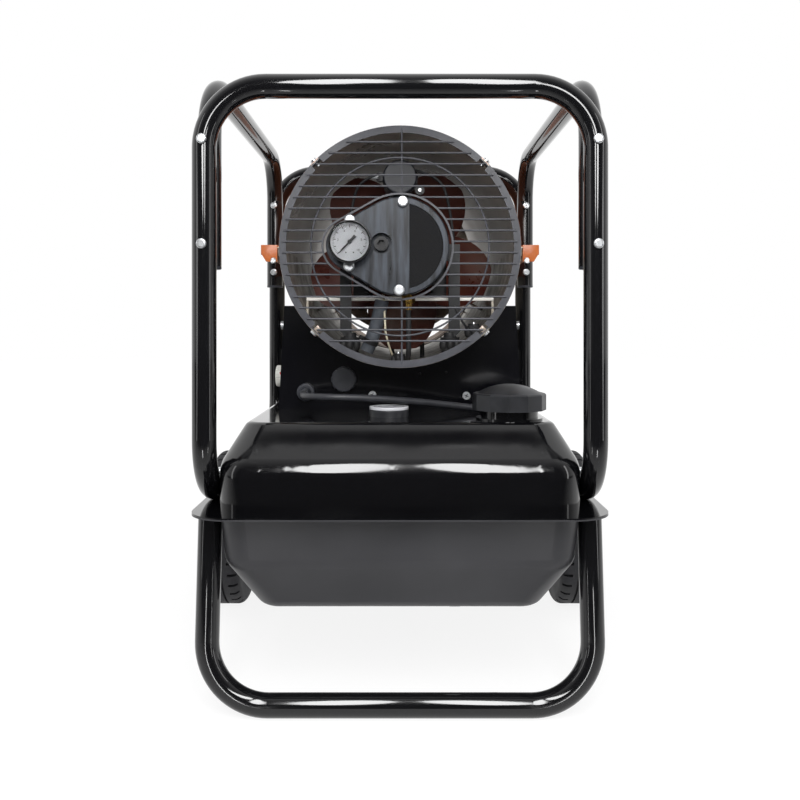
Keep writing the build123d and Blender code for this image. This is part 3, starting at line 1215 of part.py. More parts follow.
def pump_rotor():
    """The carbon rotor and its four vanes, each vane a separate solid."""
    start = PUMP_COVER_FRONT_Y + GAP
    rotor = rod(PUMP_ROTOR_R, PUMP_ROTOR_LENGTH, 0, start, AXIS_Z, "y")
    rotor -= rod(SHAFT_R + 0.02, 40, 0, start - 5, AXIS_Z, "y")
    vanes = []
    for k in range(4):
        turn = Pos(0, 0, AXIS_Z) * Rot(0, 90 * k, 0)
        rotor -= turn * block(-2 - 0.1, 2 + 0.1, start - 1, start + PUMP_ROTOR_LENGTH + 1, 14, 40)
        vanes.append(turn * block(-2, 2, start, start + PUMP_ROTOR_LENGTH, 14.5, PUMP_ROTOR_R - 0.4))
    return group([rotor] + vanes)


def intake_filter():
    """The foam pad in the pump cover."""
    return along_y(filter_outline(GAP), PUMP_FACE_Y + 1, PUMP_FACE_Y + FILTER_DEPTH)


def pressure_gauge():
    """The gauge's case with its bezel, dial and stem."""
    front = PUMP_FACE_Y - DIAL_REACH
    case = rod(DIAL_R, 11, DIAL_X, front, DIAL_Z, "y")
    case = fillet(case.edges().sort_by(Axis.Y)[0], 1.2)
    case += rod(DIAL_R - 6, DIAL_REACH - 10.5, DIAL_X, front + 10, DIAL_Z, "y")
    case -= rod(DIAL_R - 2.6, 8, DIAL_X, front - 1, DIAL_Z, "y")
    case -= rod(DIAL_R - 1.5, 2.5, DIAL_X, front, DIAL_Z, "y")
    case += rod(DIAL_STEM_R, 12, DIAL_X, PUMP_FACE_Y - 1, DIAL_Z, "y")
    return case - rod(0.8 + RUN_FIT, 5, DIAL_X, front + 6, DIAL_Z, "y")


def pressure_needle():
    """The needle of the pressure gauge, on its spindle."""
    y = PUMP_FACE_Y - DIAL_REACH + 4.5
    points = [(-1.8, -9), (1.8, -9), (0.9, 0), (0.4, 17), (-0.4, 17), (-0.9, 0)]
    outline = make_face(Polyline(*points, close=True))
    needle = Rot(90, 0, 0) * extrude(outline, amount=0.8)
    needle = Pos(DIAL_X, y + 0.8, DIAL_Z) * Rot(0, NEEDLE_ANGLE, 0) * needle
    needle += rod(2.2, 1.2, DIAL_X, y - 0.2, DIAL_Z, "y")
    return needle + rod(0.8, 5, DIAL_X, y, DIAL_Z, "y")


def adjusting_screw():
    """The screw that sets the pump's pressure, with a hexagonal socket."""
    length = PUMP_COVER_THICK - 3 - GAP
    screw = rod(SCREW_R, length, SCREW_X, PUMP_FACE_Y + 3, SCREW_Z, "y")
    return screw - hexagon(8, 8, SCREW_X, PUMP_FACE_Y + 2, SCREW_Z, "y")


# ---- guard ----
def guard_clip_place(angle, radius):
    """X and Z of a place on the guard's rim."""
    return radius * cos(radians(angle)), AXIS_Z + radius * sin(radians(angle))


def fan_guard():
    """The wire grille: level bars, a ring, an upright, a wire round the pump and a flat rim."""
    outer = BARREL_R - 0.4
    rim = ring(outer, outer - GUARD_RIM, GUARD_RIM_THICK, 0, GUARD_Y, AXIS_Z, "y")
    gaps = []
    for angle in GUARD_CLIP_ANGLES:
        x, z = guard_clip_place(angle, outer - GUARD_RIM / 2)
        notch = Box(2 * outer * sin(radians(GUARD_CLIP_HALF)), 10, GUARD_RIM + 4)
        gaps.append(Pos(x, GUARD_Y, z) * Rot(0, 90 - angle, 0) * notch)
    rim -= gaps
    tab_r = BARREL_BORE_R - GAP
    for angle in GUARD_CLIP_ANGLES:
        tab = block(-8, 8, GUARD_Y, BARREL_REAR_Y + 10, tab_r - 1.5, tab_r)
        tab -= rod(SMALL_SCREW_R, 10, 0, BARREL_REAR_Y + 5, tab_r - 5)
        rim += Pos(0, 0, AXIS_Z) * Rot(0, 90 - angle, 0) * tab
    wire_y = GUARD_Y - GUARD_WIRE_R + 0.4
    reach = outer - GUARD_RIM / 2
    bars = []
    for k in range(GUARD_BARS):
        z = GUARD_MIDDLE_Z + GUARD_PITCH * (k - (GUARD_BARS - 1) / 2)
        half = sqrt(reach**2 - (z - AXIS_Z) ** 2)
        bars.append(rod(GUARD_WIRE_R, 2 * half, -half, wire_y, z, "x"))
    bars.append(rod(GUARD_WIRE_R, 2 * reach, 2, wire_y + 1.2, AXIS_Z - reach))
    guard = rim + bars
    torus = Torus(GUARD_RING_R, GUARD_WIRE_R)
    guard += Pos(0, wire_y + 1.2, AXIS_Z) * Rot(90, 0, 0) * torus
    window = along_y(pump_outline(-GUARD_WINDOW_GAP + GUARD_WIRE_R), wire_y - 20, wire_y + 20)
    outline = pump_outline(-GUARD_WINDOW_GAP - GUARD_WIRE_R)
    wire = along_y(outline, wire_y - GUARD_WIRE_R - 0.3, wire_y + 2 * GUARD_WIRE_R)
    return guard - window + (wire - window)


def guard_screw_hole(angle):
    """The hole in the barrel's edge for one of the guard's screws."""
    hole = rod(SMALL_SCREW_R + SCREW_PLAY, 20, 0, BARREL_REAR_Y + 5, BARREL_R - 10)
    return Pos(0, 0, AXIS_Z) * Rot(0, 90 - angle, 0) * hole


def guard_screw(angle):
    """One of the screws that hold the guard's tabs in the barrel's edge."""
    y = BARREL_REAR_Y + 5
    screw = rod(4, 2.5, 0, y, BARREL_R + 0.2) + rod(SMALL_SCREW_R - 0.05, 8, 0, y, BARREL_R - 7)
    return Pos(0, 0, AXIS_Z) * Rot(0, 90 - angle, 0) * screw


def housing_screws():
    """Screws of pump, guard, barrel and box, each a separate solid."""
    solids = []
    for x, z in COVER_SCREWS:
        head = rod(COVER_HEAD_R, COVER_HEAD, x, PUMP_FACE_Y - COVER_HEAD, z, "y")
        head = fillet(head.edges().sort_by(Axis.Y)[0], 1.8)
        solids.append(head + rod(COVER_SCREW_R - 0.02, PUMP_COVER_THICK + 13, x, PUMP_FACE_Y - 1, z, "y"))
    for side in SIDES:
        x = side * shell_screw_x()
        for y in SHELL_SCREW_YS:
            screw = rod(4.5, 2.5, x, y, AXIS_Z + BARREL_SHEET) + rod(SMALL_SCREW_R, 12, x, y, AXIS_Z - 9)
            solids.append(screw)
        for x0, y, z in cover_screw_places():
            screw = rod(5, 3, x0 + GAP, y, z, "x") + rod(SMALL_SCREW_R, 12, x0 - 10, y, z, "x")
            solids.append(screw if side > 0 else mirrored(screw))
    for x, z in BOX_REAR_SCREWS:
        screw = rod(4.8, 3.5, x, BOX_REAR_Y - 3.5, z, "y")
        solids.append(screw + rod(SMALL_SCREW_R, 12, x, BOX_REAR_Y - 1, z, "y"))
    solids += [guard_screw(angle) for angle in GUARD_CLIP_ANGLES]
    for x, y in box_foot_places():
        top = TANK_TOP_Z + SHEET
        solids.append(rod(4.5, 2.5, x, y, top) + rod(SMALL_SCREW_R, 12, x, y, top - 11))
    return group(solids)


# ---- mains lead ----
def coil_point(turns):
    """A point of the coil: in on the floor, up where the spiral turns back, and out on top."""
    angle = radians(COIL_START_ANGLE) + 2 * pi * turns
    from_middle = turns - COIL_TURNS / 2
    radius = COIL_INNER_R + COIL_PITCH * abs(from_middle)
    climbed = min(max(from_middle / COIL_CLIMB + 0.5, 0), 1)
    height = CORD_R + COIL_PITCH * climbed**2 * (3 - 2 * climbed)
    return Vector(COIL_X + radius * cos(angle), COIL_Y + radius * sin(angle), height)


def coil_direction(turns):
    """The way that the lead runs at a point of the coil."""
    step = 0.001
    return (coil_point(turns + step) - coil_point(turns - step)).normalized()


# The lead's way from the gland: past the cap on the tank, along the box, over the tank's front edge
# and down to the floor, where the rest of it lies coiled under the tank's front.
CORD_POINTS = [
    (GLAND_X, BOX_REAR_Y - GLAND_NOSE, GLAND_Z),
    (GLAND_X, 112.0, GLAND_Z),
    (-86.0, 86.0, 325.5),
    (-44.0, 92.0, 324.5),
    (14.0, 110.0, 319.0),
    (62.0, 126.0, 312.6),
    (100.0, 131.0, 307.6),
    (140.0, 136.0, 307.2),
    (162.0, 170.0, 307.2),
    (163.0, 215.0, 307.2),
    (160.5, 275.0, 307.2),
    (163.0, 345.0, 307.2),
    (160.5, 415.0, 307.2),
    (162.5, 480.0, 307.2),
    (161.0, 535.0, 308.5),
    (162.0, 577.0, 288.0),
    (163.0, 606.0, 248.0),
    (164.0, 621.0, 200.0),
    (163.0, 624.0, 140.0),
    (162.0, 625.0, 84.0),
    (157.0, 622.0, 38.0),
    (127.0, 615.0, 6.0),
]


def cord_route():
    """The route's points, ended on the straight way into the coil."""
    start = coil_point(0)
    before = start - coil_direction(0) * 40
    return [Vector(*p) for p in CORD_POINTS] + [before, start]


def cord_radii(points):
    """For each corner, the radius that its two runs allow."""
    radii = []
    for a, b, c in zip(points, points[1:], points[2:]):
        half_turn = radians((b - a).get_angle(c - b)) / 2
        radii.append(0.45 * min((b - a).length, (c - b).length) / tan(half_turn))
    return radii


def power_cord():
    """The mains lead from the gland to its coil."""
    points = cord_route()
    radii = cord_radii(points)
    print("lead: radii", [round(r) for r in radii])
    path = FilletPolyline(*points, radius=radii)
    print("lead: free length", round(path.length, 1))
    tube = swept(path, CORD_R)
    print("lead: volume over section times length", round(tube.volume / (pi * CORD_R**2 * path.length), 4))
    return tube


def biarc(start, start_way, end, end_way):
    """Two arcs that leave one point and reach another in given directions."""
    across = end - start
    ways = start_way + end_way
    spare = 2 * (1 - start_way.dot(end_way))
    reach = (-across.dot(ways) + sqrt(across.dot(ways) ** 2 + spare * across.dot(across))) / spare
    low, high = start + start_way * reach, end - end_way * reach
    middle = (low + high) * 0.5
    first = TangentArc(start, middle, tangent=start_way)
    return [first, TangentArc(middle, end, tangent=(high - low).normalized())]


def power_cord_coil():
    """The rest of the lead: three turns in two layers, ending in a straight tail."""
    stops = [k / 4 for k in range(4 * COIL_TURNS + 1)]
    pieces = []
    for a, b in zip(stops, stops[1:]):
        pieces += biarc(coil_point(a), coil_direction(a), coil_point(b), coil_direction(b))
    end = coil_point(COIL_TURNS)
    pieces.append(Line(end, end + coil_direction(COIL_TURNS) * COIL_TAIL))
    path = Wire(pieces)
    print("coil: length", round(path.length, 1), "least gap to itself", round(coil_gap(pieces), 2))
    return swept(path, CORD_R)


def coil_gap(pieces):
    """The least gap between stretches of the coil that aren't neighbours along it."""
    samples = []
    travelled = 0.0
    for piece in pieces:
        for k in range(24):
            samples.append((travelled + piece.length * k / 24, piece @ (k / 24)))
        travelled += piece.length
    least = 1e9
    for i, (s, p) in enumerate(samples):
        for t, q in samples[i + 1:]:
            if t - s > 60:
                least = min(least, (p - q).length)
    return least - 2 * CORD_R


def power_plug():
    """The plug on the floor beside the coil, with its bend relief and two pins."""
    low = (Align.CENTER, Align.CENTER, Align.MIN)
    relief = Cone(CORD_R + 1, CORD_R + 3.5, PLUG_RELIEF, align=low)
    body = Pos(0, 0, PLUG_RELIEF + PLUG_BODY / 2) * Box(2 * PLUG_HALF_HEIGHT, 30, PLUG_BODY)
    body = fillet(body.edges().filter_by(Axis.Z), 7)
    body = chamfer(body.edges().group_by(Axis.Z)[0], 4)
    plug = relief + body
    for side in SIDES:
        plug += Pos(0, side * 9.5, PLUG_RELIEF + PLUG_BODY - 1) * Cylinder(2.4, 20, align=low)
    way = coil_direction(COIL_TURNS)
    start = coil_point(COIL_TURNS) + way * COIL_TAIL
    return Plane(origin=start, x_dir=(0, 0, 1), z_dir=way) * plug


# ---- the pieces, one file each ----
def pieces():
    """Every node by name."""
    right_tyre, right_rim = tyre(), rim()
    return {
        "rear_hoop": rear_hoop(),
        "front_hoop": front_hoop(),
        "side_rails": group([side_rail(side) for side in SIDES]),
        "rail_end_caps": rail_end_caps(),
        "leg_hoop": leg_hoop(),
        "frame_bolts": frame_bolts(),
        "tank_upper_shell": tank_upper_shell(),
        "tank_lower_shell": tank_lower_shell(),
        "tank_drain_plug": tank_drain_plug(),
        "filler_neck": filler_neck(),
        "filler_strainer": filler_strainer(),
        "cap_gasket": cap_gasket(),
        "fuel_cap": fuel_cap(),
        "fuel_gauge_body": fuel_gauge_body(),
        "fuel_pointer": fuel_pointer(),
        "float_arm": float_arm(),
        "gauge_lenses": gauge_lenses(),
        "fuel_pickup": fuel_pickup(),
        "wheel_brackets": wheel_brackets(),
        "stub_axles": stub_axles(),
        "tyre_right": right_tyre,
        "tyre_left": mirrored(right_tyre),
        "rim_right": right_rim,
        "rim_left": mirrored(right_rim),
        "upper_shell": upper_shell(),
        "lower_shell": lower_shell(),
        "outlet_ring": outlet_ring(),
        "combustion_chamber": combustion_chamber(),
        "flame_baffle": flame_baffle(),
        "burner_head": burner_head(),
        "fuel_nozzle": fuel_nozzle(),
        "igniter_electrodes": igniter_electrodes(),
        "fuel_and_air_lines": group([fuel_line(), air_line()]),
        "air_fitting": air_fitting(),
        "control_box": control_box(),
        "box_side_cover": side_cover(),
        "control_panel": control_panel(),
        "rocker_switch": rocker_switch(),
        "thermostat_knob": thermostat_knob(),
        "control_unit": group([control_board(), ignition_transformer()]),
        "cable_gland": cable_gland(),
        "thermostat_socket": thermostat_socket(),
        "motor_body": motor_body(),
        "motor_stator": motor_stator(),
        "motor_shaft": motor_shaft(),
        "motor_bracket": motor_bracket(),
        "motor_capacitor": motor_capacitor(),
        "fan_impeller": fan_impeller(),
        "pump_body": pump_body(),
        "pump_cover": pump_cover(),
        "pump_rotor": pump_rotor(),
        "intake_filter": intake_filter(),
        "pressure_gauge": pressure_gauge(),
        "pressure_needle": pressure_needle(),
        "adjusting_screw": adjusting_screw(),
        "fan_guard": fan_guard(),
        "housing_screws": housing_screws(),
        "power_cord": power_cord(),
        "power_cord_coil": power_cord_coil(),
        "power_plug": power_plug(),
    }


os.makedirs("parts", exist_ok=True)
for name, shape in pieces().items():
    export_step(Pos(0, -ORIGIN_Y, 0) * shape, f"parts/{name}.step")
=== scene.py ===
"""Looks of a fuel-burning forced air heater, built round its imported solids.

A barrel with motor, fan and air pump lies on a control box and a fuel tank, in a cage of bent tube. Lengths
are metres in the row's frame: X to the right seen from the fan end, Y towards the hot air outlet, Z up.
"""

from __future__ import annotations

import json
import logging
import math
import sys
from dataclasses import dataclass
from enum import Enum
from typing import Iterable, Optional, Sequence

import bmesh
import bpy
from mathutils import Matrix, Vector

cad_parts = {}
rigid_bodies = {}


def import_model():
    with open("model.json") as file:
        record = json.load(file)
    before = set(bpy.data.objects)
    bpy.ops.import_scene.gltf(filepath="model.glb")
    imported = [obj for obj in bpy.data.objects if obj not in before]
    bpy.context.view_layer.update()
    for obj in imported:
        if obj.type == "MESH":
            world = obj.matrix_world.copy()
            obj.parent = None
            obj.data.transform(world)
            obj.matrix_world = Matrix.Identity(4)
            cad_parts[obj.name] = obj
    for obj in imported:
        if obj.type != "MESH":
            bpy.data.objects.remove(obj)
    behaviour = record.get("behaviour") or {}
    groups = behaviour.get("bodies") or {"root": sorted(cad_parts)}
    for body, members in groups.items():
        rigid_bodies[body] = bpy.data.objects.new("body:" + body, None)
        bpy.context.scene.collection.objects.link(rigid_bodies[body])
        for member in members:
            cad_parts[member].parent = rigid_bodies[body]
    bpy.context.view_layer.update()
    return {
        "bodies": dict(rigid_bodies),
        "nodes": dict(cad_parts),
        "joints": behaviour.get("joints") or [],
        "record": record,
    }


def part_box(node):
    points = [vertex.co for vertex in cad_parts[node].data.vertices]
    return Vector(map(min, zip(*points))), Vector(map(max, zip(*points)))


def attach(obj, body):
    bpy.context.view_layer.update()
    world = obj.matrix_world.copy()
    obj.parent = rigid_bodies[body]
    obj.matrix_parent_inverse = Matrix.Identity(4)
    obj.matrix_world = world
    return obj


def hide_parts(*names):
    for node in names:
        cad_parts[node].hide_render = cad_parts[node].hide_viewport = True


LOG = logging.getLogger("heater")
MM = 0.001
FIXED = "chassis"
REAR_HOOP_Y = -0.363        # centre plane of the rear hoop
AXIS_Z = 0.496              # the barrel's middle line
BARREL_BORE = 0.1358        # inner radius of the barrel
REARWARD = (0, -1, 0)       # towards the fan end
FORWARD = (0, 1, 0)         # towards the hot air outlet
SIDES = (-1, 1)
SIDE_NAMES = ((-1, "left"), (1, "right"))
NEARLY_SQUARE = 0.9         # cosine above which a face looks along an axis
SHARP = 0.9                 # radians above which an edge is rounded
PATCH_RANGE = (0.38, 0.66)  # of the cloud, over which a finish's second colour comes in
ROUGH_RANGE = (0.3, 0.7)    # of the cloud, over which the roughness varies
LEAST_ROUGHNESS = 0.02
COAT_ROUGHNESS = 0.08
RELIEF_STRENGTH = 0.6


# ---- materials ----
class Pattern(Enum):
    """How a finish's fine relief is drawn."""

    PEEL = "rounded bumps of sprayed or moulded coats"
    BRUSHED = "lines drawn along one way"
    SPANGLE = "flat crystals of zinc"
    CELLS = "open cells of foam"


def linear(code: str) -> tuple[float, float, float, float]:
    """Turn an sRGB hex colour into the linear colour of a shader.

    Args:
        code: the colour as #RRGGBB.

    Returns:
        Red, green, blue and an alpha of 1.
    """
    parts = [int(code[k : k + 2], 16) / 255 for k in (1, 3, 5)]
    mixed = [p / 12.92 if p <= 0.04045 else ((p + 0.055) / 1.055) ** 2.4 for p in parts]
    return (*mixed, 1.0)


def add_node(
    tree: bpy.types.NodeTree, kind: str, inputs: Optional[dict] = None, **settings
) -> bpy.types.Node:
    """Add a node with its settings and links.

    Args:
        tree: the node tree.
        kind: the node's type.
        inputs: values or sockets by input name or number.
        **settings: attributes of the node.

    Returns:
        The new node.
    """
    node = tree.nodes.new(kind)
    for name, value in settings.items():
        setattr(node, name, value)
    for name, value in (inputs or {}).items():
        if isinstance(value, bpy.types.NodeSocket):
            tree.links.new(value, node.inputs[name])
        else:
            node.inputs[name].default_value = value
    return node


def ramp(
    tree: bpy.types.NodeTree, value: bpy.types.NodeSocket, span: tuple[float, float],
    tones: tuple[float, float],
) -> bpy.types.NodeSocket:
    """Map a value from one range to another, held at both ends.

    Args:
        tree: the node tree.
        value: the socket that is mapped.
        span: where it starts and ends.
        tones: what it gives there.

    Returns:
        The mapped value.
    """
    (start, end), (low, high) = span, tones
    inputs = {0: value, 1: start, 2: end, 3: low, 4: high}
    return add_node(tree, "ShaderNodeMapRange", inputs, clamp=True).outputs[0]


@dataclass(frozen=True)
class Finish:
    """A surface: what it is made of and how it was made."""

    name: str
    slot: str
    color: str
    patches: Optional[str] = None       # the colour that it varies towards
    patch_mm: float = 60.0
    roughness: float = 0.4
    spread: float = 0.05                # how far the roughness varies
    metallic: float = 0.0
    ior: float = 1.5
    coat: float = 0.0
    transmission: float = 0.0
    pattern: Pattern = Pattern.PEEL
    grain_mm: float = 2.5
    grain_depth_mm: float = 0.01
    stretch: tuple[float, float, float] = (1.0, 1.0, 1.0)
    turn: tuple[float, float, float] = (0.0, 0.0, 0.0)

    def build(self) -> bpy.types.Material:
        """Make the material, once per finish.

        Returns:
            The material.
        """
        found = bpy.data.materials.get(self.name)
        if found:
            return found
        material = bpy.data.materials.new(self.name)
        material.use_nodes = True
        tree = material.node_tree
        tree.nodes.clear()
        coords = add_node(
            tree,
            "ShaderNodeMapping",
            {
                "Vector": add_node(tree, "ShaderNodeTexCoord").outputs["Object"],
                "Scale": self.stretch,
                "Rotation": tuple(math.radians(a) for a in self.turn),
            },
        ).outputs[0]
        shader = add_node(
            tree,
            "ShaderNodeBsdfPrincipled",
            {
                "Metallic": self.metallic,
                "Coat Weight": self.coat,
                "Coat Roughness": COAT_ROUGHNESS,
                "Transmission Weight": self.transmission,
                "IOR": self.ior,
            },
        )
        self.colour(tree, shader, coords)
        self.relief(tree, shader, coords)
        add_node(tree, "ShaderNodeOutputMaterial", {"Surface": shader.outputs[0]})
        return material

    def colour(
        self, tree: bpy.types.NodeTree, shader: bpy.types.Node, coords: bpy.types.NodeSocket
    ) -> None:
        """Give the shader its colour and roughness, both a little uneven.

        Args:
            tree: the material's nodes.
            shader: the shader that takes them.
            coords: the object coordinates, stretched and turned as the marks run.
        """
        cloud = add_node(
            tree, "ShaderNodeTexNoise", {"Vector": coords, "Scale": 1000 / self.patch_mm, "Detail": 4.0}
        ).outputs[0]
        if self.patches:
            share = ramp(tree, cloud, PATCH_RANGE, (0.0, 1.0))
            mixed = add_node(
                tree,
                "ShaderNodeMix",
                {0: share, 6: linear(self.color), 7: linear(self.patches)},
                data_type="RGBA",
            ).outputs[2]
            tree.links.new(mixed, shader.inputs["Base Color"])
        else:
            shader.inputs["Base Color"].default_value = linear(self.color)
        low = max(LEAST_ROUGHNESS, self.roughness - self.spread)
        high = min(1.0, self.roughness + self.spread)
        tree.links.new(ramp(tree, cloud, ROUGH_RANGE, (low, high)), shader.inputs["Roughness"])

    def relief(
        self, tree: bpy.types.NodeTree, shader: bpy.types.Node, coords: bpy.types.NodeSocket
    ) -> None:
        """Give the shader its fine relief.

        Args:
            tree: the material's nodes.
            shader: the shader that takes it.
            coords: the object coordinates, stretched and turned as the marks run.
        """
        if self.grain_depth_mm <= 0:
            return
        scale = 1000 / self.grain_mm
        if self.pattern in (Pattern.SPANGLE, Pattern.CELLS):
            height = add_node(
                tree, "ShaderNodeTexVoronoi", {"Vector": coords, "Scale": scale}
            ).outputs["Distance"]
        else:
            height = add_node(
                tree, "ShaderNodeTexNoise", {"Vector": coords, "Scale": scale, "Detail": 3.0}
            ).outputs[0]
        bump = add_node(
            tree,
            "ShaderNodeBump",
            {"Strength": RELIEF_STRENGTH, "Distance": self.grain_depth_mm * MM, "Height": height},
        ).outputs[0]
        tree.links.new(bump, shader.inputs["Normal"])


@dataclass(frozen=True)
class TwoSided(Finish):
    """Sheet painted outside and bare zinc inside, told apart by the distance from the barrel's axis."""

    # inside: bare zinc, its warm brown tint a painted reflection of the orange shell and painted shade
    inside: str = "#A3968A"
    inside_metal: float = 0.45
    radius: float = 0.1364              # between the sheet's two faces

    def build(self) -> bpy.types.Material:
        """Make the material, with its inside mixed in.

        Returns:
            The material.
        """
        made = bpy.data.materials.get(self.name)
        if made:
            return made
        material = super().build()
        tree = material.node_tree
        shader = next(n for n in tree.nodes if n.type == "BSDF_PRINCIPLED")
        coords = next(n for n in tree.nodes if n.type == "TEX_COORD").outputs["Object"]
        level = add_node(
            tree, "ShaderNodeMapping", {"Vector": coords, "Location": (0, 0, -AXIS_Z), "Scale": (1, 0, 1)}
        ).outputs[0]
        reach = add_node(tree, "ShaderNodeVectorMath", {0: level}, operation="LENGTH").outputs["Value"]
        outside = add_node(
            tree, "ShaderNodeMath", {0: reach, 1: self.radius}, operation="GREATER_THAN"
        ).outputs[0]
        source = shader.inputs["Base Color"].links[0].from_socket
        mixed = add_node(
            tree, "ShaderNodeMix", {0: outside, 6: linear(self.inside), 7: source}, data_type="RGBA"
        ).outputs[2]
        tree.links.new(mixed, shader.inputs["Base Color"])
        metal = ramp(tree, outside, (0.0, 1.0), (self.inside_metal, 0.0))
        tree.links.new(metal, shader.inputs["Metallic"])
        return material


# Powder coat: polyester baked on steel tube; deep, mirror-like, with a faint orange peel.
FRAME_COAT = Finish("gloss_powder_coat", "frame_black", "#0C0C0E", roughness=0.07, spread=0.03, coat=0.4,
                    grain_mm=3.0, grain_depth_mm=0.005)
# Stoved enamel on pressed sheet: as glossy, and the sheet waves a little under it.
TANK_ENAMEL = Finish("stoved_enamel", "tank_gloss", "#08080A", roughness=0.08, spread=0.03, coat=0.3,
                     grain_mm=60.0, grain_depth_mm=0.08)
# The lower half is the same enamel, dulled: broad soft reflections on dark grey.
TANK_SATIN = Finish("satin_enamel", "tank_satin", "#2B2B2E", "#343437", patch_mm=120, roughness=0.4,
                    grain_mm=1.2, grain_depth_mm=0.01)
# Powder coat on folded sheet: black and fairly glossy, with a fine orange peel.
BOX_COAT = Finish("box_powder_coat", "box_black", "#06060B", roughness=0.16, spread=0.04, coat=0.2,
                  grain_mm=2.2, grain_depth_mm=0.01)
# Powder coat in orange outside; inside, bare zinc tinted warm brown and a little darker, as a painted
# reflection of the orange shell and painted shade.
BARREL_COAT = TwoSided("orange_powder_coat", "barrel_orange", "#A4551F", "#8F4819", patch_mm=90,
                       roughness=0.3, grain_mm=2.4, grain_depth_mm=0.01)
# Hot-dip zinc: crystals of about 9 mm, dull grey, each with its own shine.
GALVANISED = Finish("hot_dip_zinc", "galvanised", "#B9B2A5", "#968E82", patch_mm=26, roughness=0.4,
                    spread=0.12, metallic=0.55, pattern=Pattern.SPANGLE, grain_mm=9.0, grain_depth_mm=0.02)
# Bright zinc plate on bolts and screws: pale metal that mirrors softly.
ZINC_PLATE = Finish("bright_zinc_plate", "zinc_screws", "#E2E4E6", "#CFD2D5", patch_mm=6, roughness=0.32,
                    metallic=1.0, grain_mm=0.8, grain_depth_mm=0.004)
# Heat-resistant steel, browned by the flame: dull, with long streaks along the barrel.
HEAT_STEEL = Finish("heat_resistant_steel", "heat_steel", "#8C8178", "#6B5B50", patch_mm=70, roughness=0.42,
                    spread=0.1, metallic=0.9, pattern=Pattern.BRUSHED, grain_mm=3.0, grain_depth_mm=0.01,
                    stretch=(1.0, 0.08, 1.0))
# Aluminium fan, coloured dark red-brown as a painted reflection of the orange shell and the dark inside of
# the barrel: satin, a little dusty.
FAN_PAINTED_REFLECTION = Finish("fan_painted_reflection", "fan_metal", "#4C2119", "#5C2C21", patch_mm=40, roughness=0.36, spread=0.1,
                   grain_mm=1.6, grain_depth_mm=0.012)
# Thin powder coat on wire: dark grey, with a soft shine.
GUARD_COAT = Finish("grey_powder_coat", "guard_grey", "#35363C", "#404147", patch_mm=20, roughness=0.42,
                    grain_mm=1.4, grain_depth_mm=0.01)
# Die-cast aluminium, rubbed and darkened: graphite with lighter streaks that run down and to the left.
CAST_METAL = Finish("rubbed_die_casting", "cast_grey", "#14161A", "#3A3F47", patch_mm=7, roughness=0.38,
                    spread=0.12, metallic=0.3, pattern=Pattern.BRUSHED, grain_mm=2.0, grain_depth_mm=0.03,
                    stretch=(1.0, 1.0, 0.12), turn=(0.0, 28.0, 0.0))
# Enamel on the motor's casing: black, half dull.
MOTOR_PAINT = Finish("motor_enamel", "motor_black", "#121214", roughness=0.45, grain_mm=1.5,
                     grain_depth_mm=0.015)
# Moulded rubber: dull near-black, with a faint bloom.
RUBBER = Finish("moulded_rubber", "rubber_black", "#19191B", "#222224", patch_mm=25, roughness=0.6,
                grain_mm=0.7, grain_depth_mm=0.02)
# Tyre rubber: duller and rougher, a little worn.
TYRE_RUBBER = Finish("tyre_rubber", "tyre_black", "#17171A", "#26262A", patch_mm=30, roughness=0.72,
                     spread=0.1, grain_mm=1.2, grain_depth_mm=0.04)
# Sheath of the lead: smooth dark grey, with a soft line of light along it.
LEAD_SHEATH = Finish("pvc_sheath", "rubber_black", "#26272B", "#2E2F34", patch_mm=15, roughness=0.45,
                     grain_mm=1.0, grain_depth_mm=0.01)
# ABS from a spark-eroded mould: an even fine grain that takes off the shine.
ABS = Finish("textured_abs", "plastic_black", "#2A2C32", "#31333A", patch_mm=18, roughness=0.42,
             grain_mm=0.8, grain_depth_mm=0.02)
# The cap is the same ABS in a darker mix, with flats that catch the light one by one.
CAP_ABS = Finish("dark_textured_abs", "plastic_black", "#1B1C1F", "#222327", patch_mm=18, roughness=0.4,
                 grain_mm=0.8, grain_depth_mm=0.02)
# Nitrile hose: dull mid grey, a little chalky.
HOSE_RUBBER = Finish("nitrile_hose", "rubber_black", "#3F434A", "#4B5057", patch_mm=12, roughness=0.55,
                     grain_mm=1.0, grain_depth_mm=0.02)
# Insulation in cream: half glossy.
WIRE_CREAM = Finish("cream_wire", "plastic_white", "#CFC7AE", roughness=0.45, grain_mm=1.0,
                    grain_depth_mm=0.005)
# Plastic case: smooth blue-grey, half dull.
CAPACITOR = Finish("capacitor_case", "capacitor_grey", "#24262D", roughness=0.4, grain_mm=1.0,
                   grain_depth_mm=0.01)
# White ABS: smooth and a little warm.
WHITE_PLASTIC = Finish("white_abs", "plastic_white", "#D9D8D2", roughness=0.35, grain_mm=1.0,
                       grain_depth_mm=0.008)
# Polycarbonate dyed red: glossy.
RED_PLASTIC = Finish("red_polycarbonate", "switch_red", "#B01A14", roughness=0.2, grain_mm=2.0,
                     grain_depth_mm=0.004)
# Brass off the lathe: warm metal with fine turned lines.
BRASS = Finish("turned_brass", "brass", "#C9A25A", "#B48E48", patch_mm=8, roughness=0.25, metallic=1.0,
               pattern=Pattern.BRUSHED, grain_mm=0.8, grain_depth_mm=0.006, stretch=(1.0, 0.1, 1.0))
# Glazed ceramic: cream white, with a wet shine.
CERAMIC = Finish("glazed_ceramic", "ceramic", "#ECE8DC", roughness=0.15, coat=0.5, grain_mm=3.0,
                 grain_depth_mm=0.004)
# Clear acrylic: all but invisible, with sharp reflections.
LENS = Finish("clear_acrylic", "clear", "#FFFFFF", roughness=0.04, spread=0.01, ior=1.49, transmission=1.0,
              grain_depth_mm=0.0)
# Reticulated foam: open cells of about 1.5 mm that swallow the light.
FOAM = Finish("open_cell_foam", "foam", "#050507", "#0C0C0F", patch_mm=9, roughness=0.95,
              pattern=Pattern.CELLS, grain_mm=1.5, grain_depth_mm=0.6)
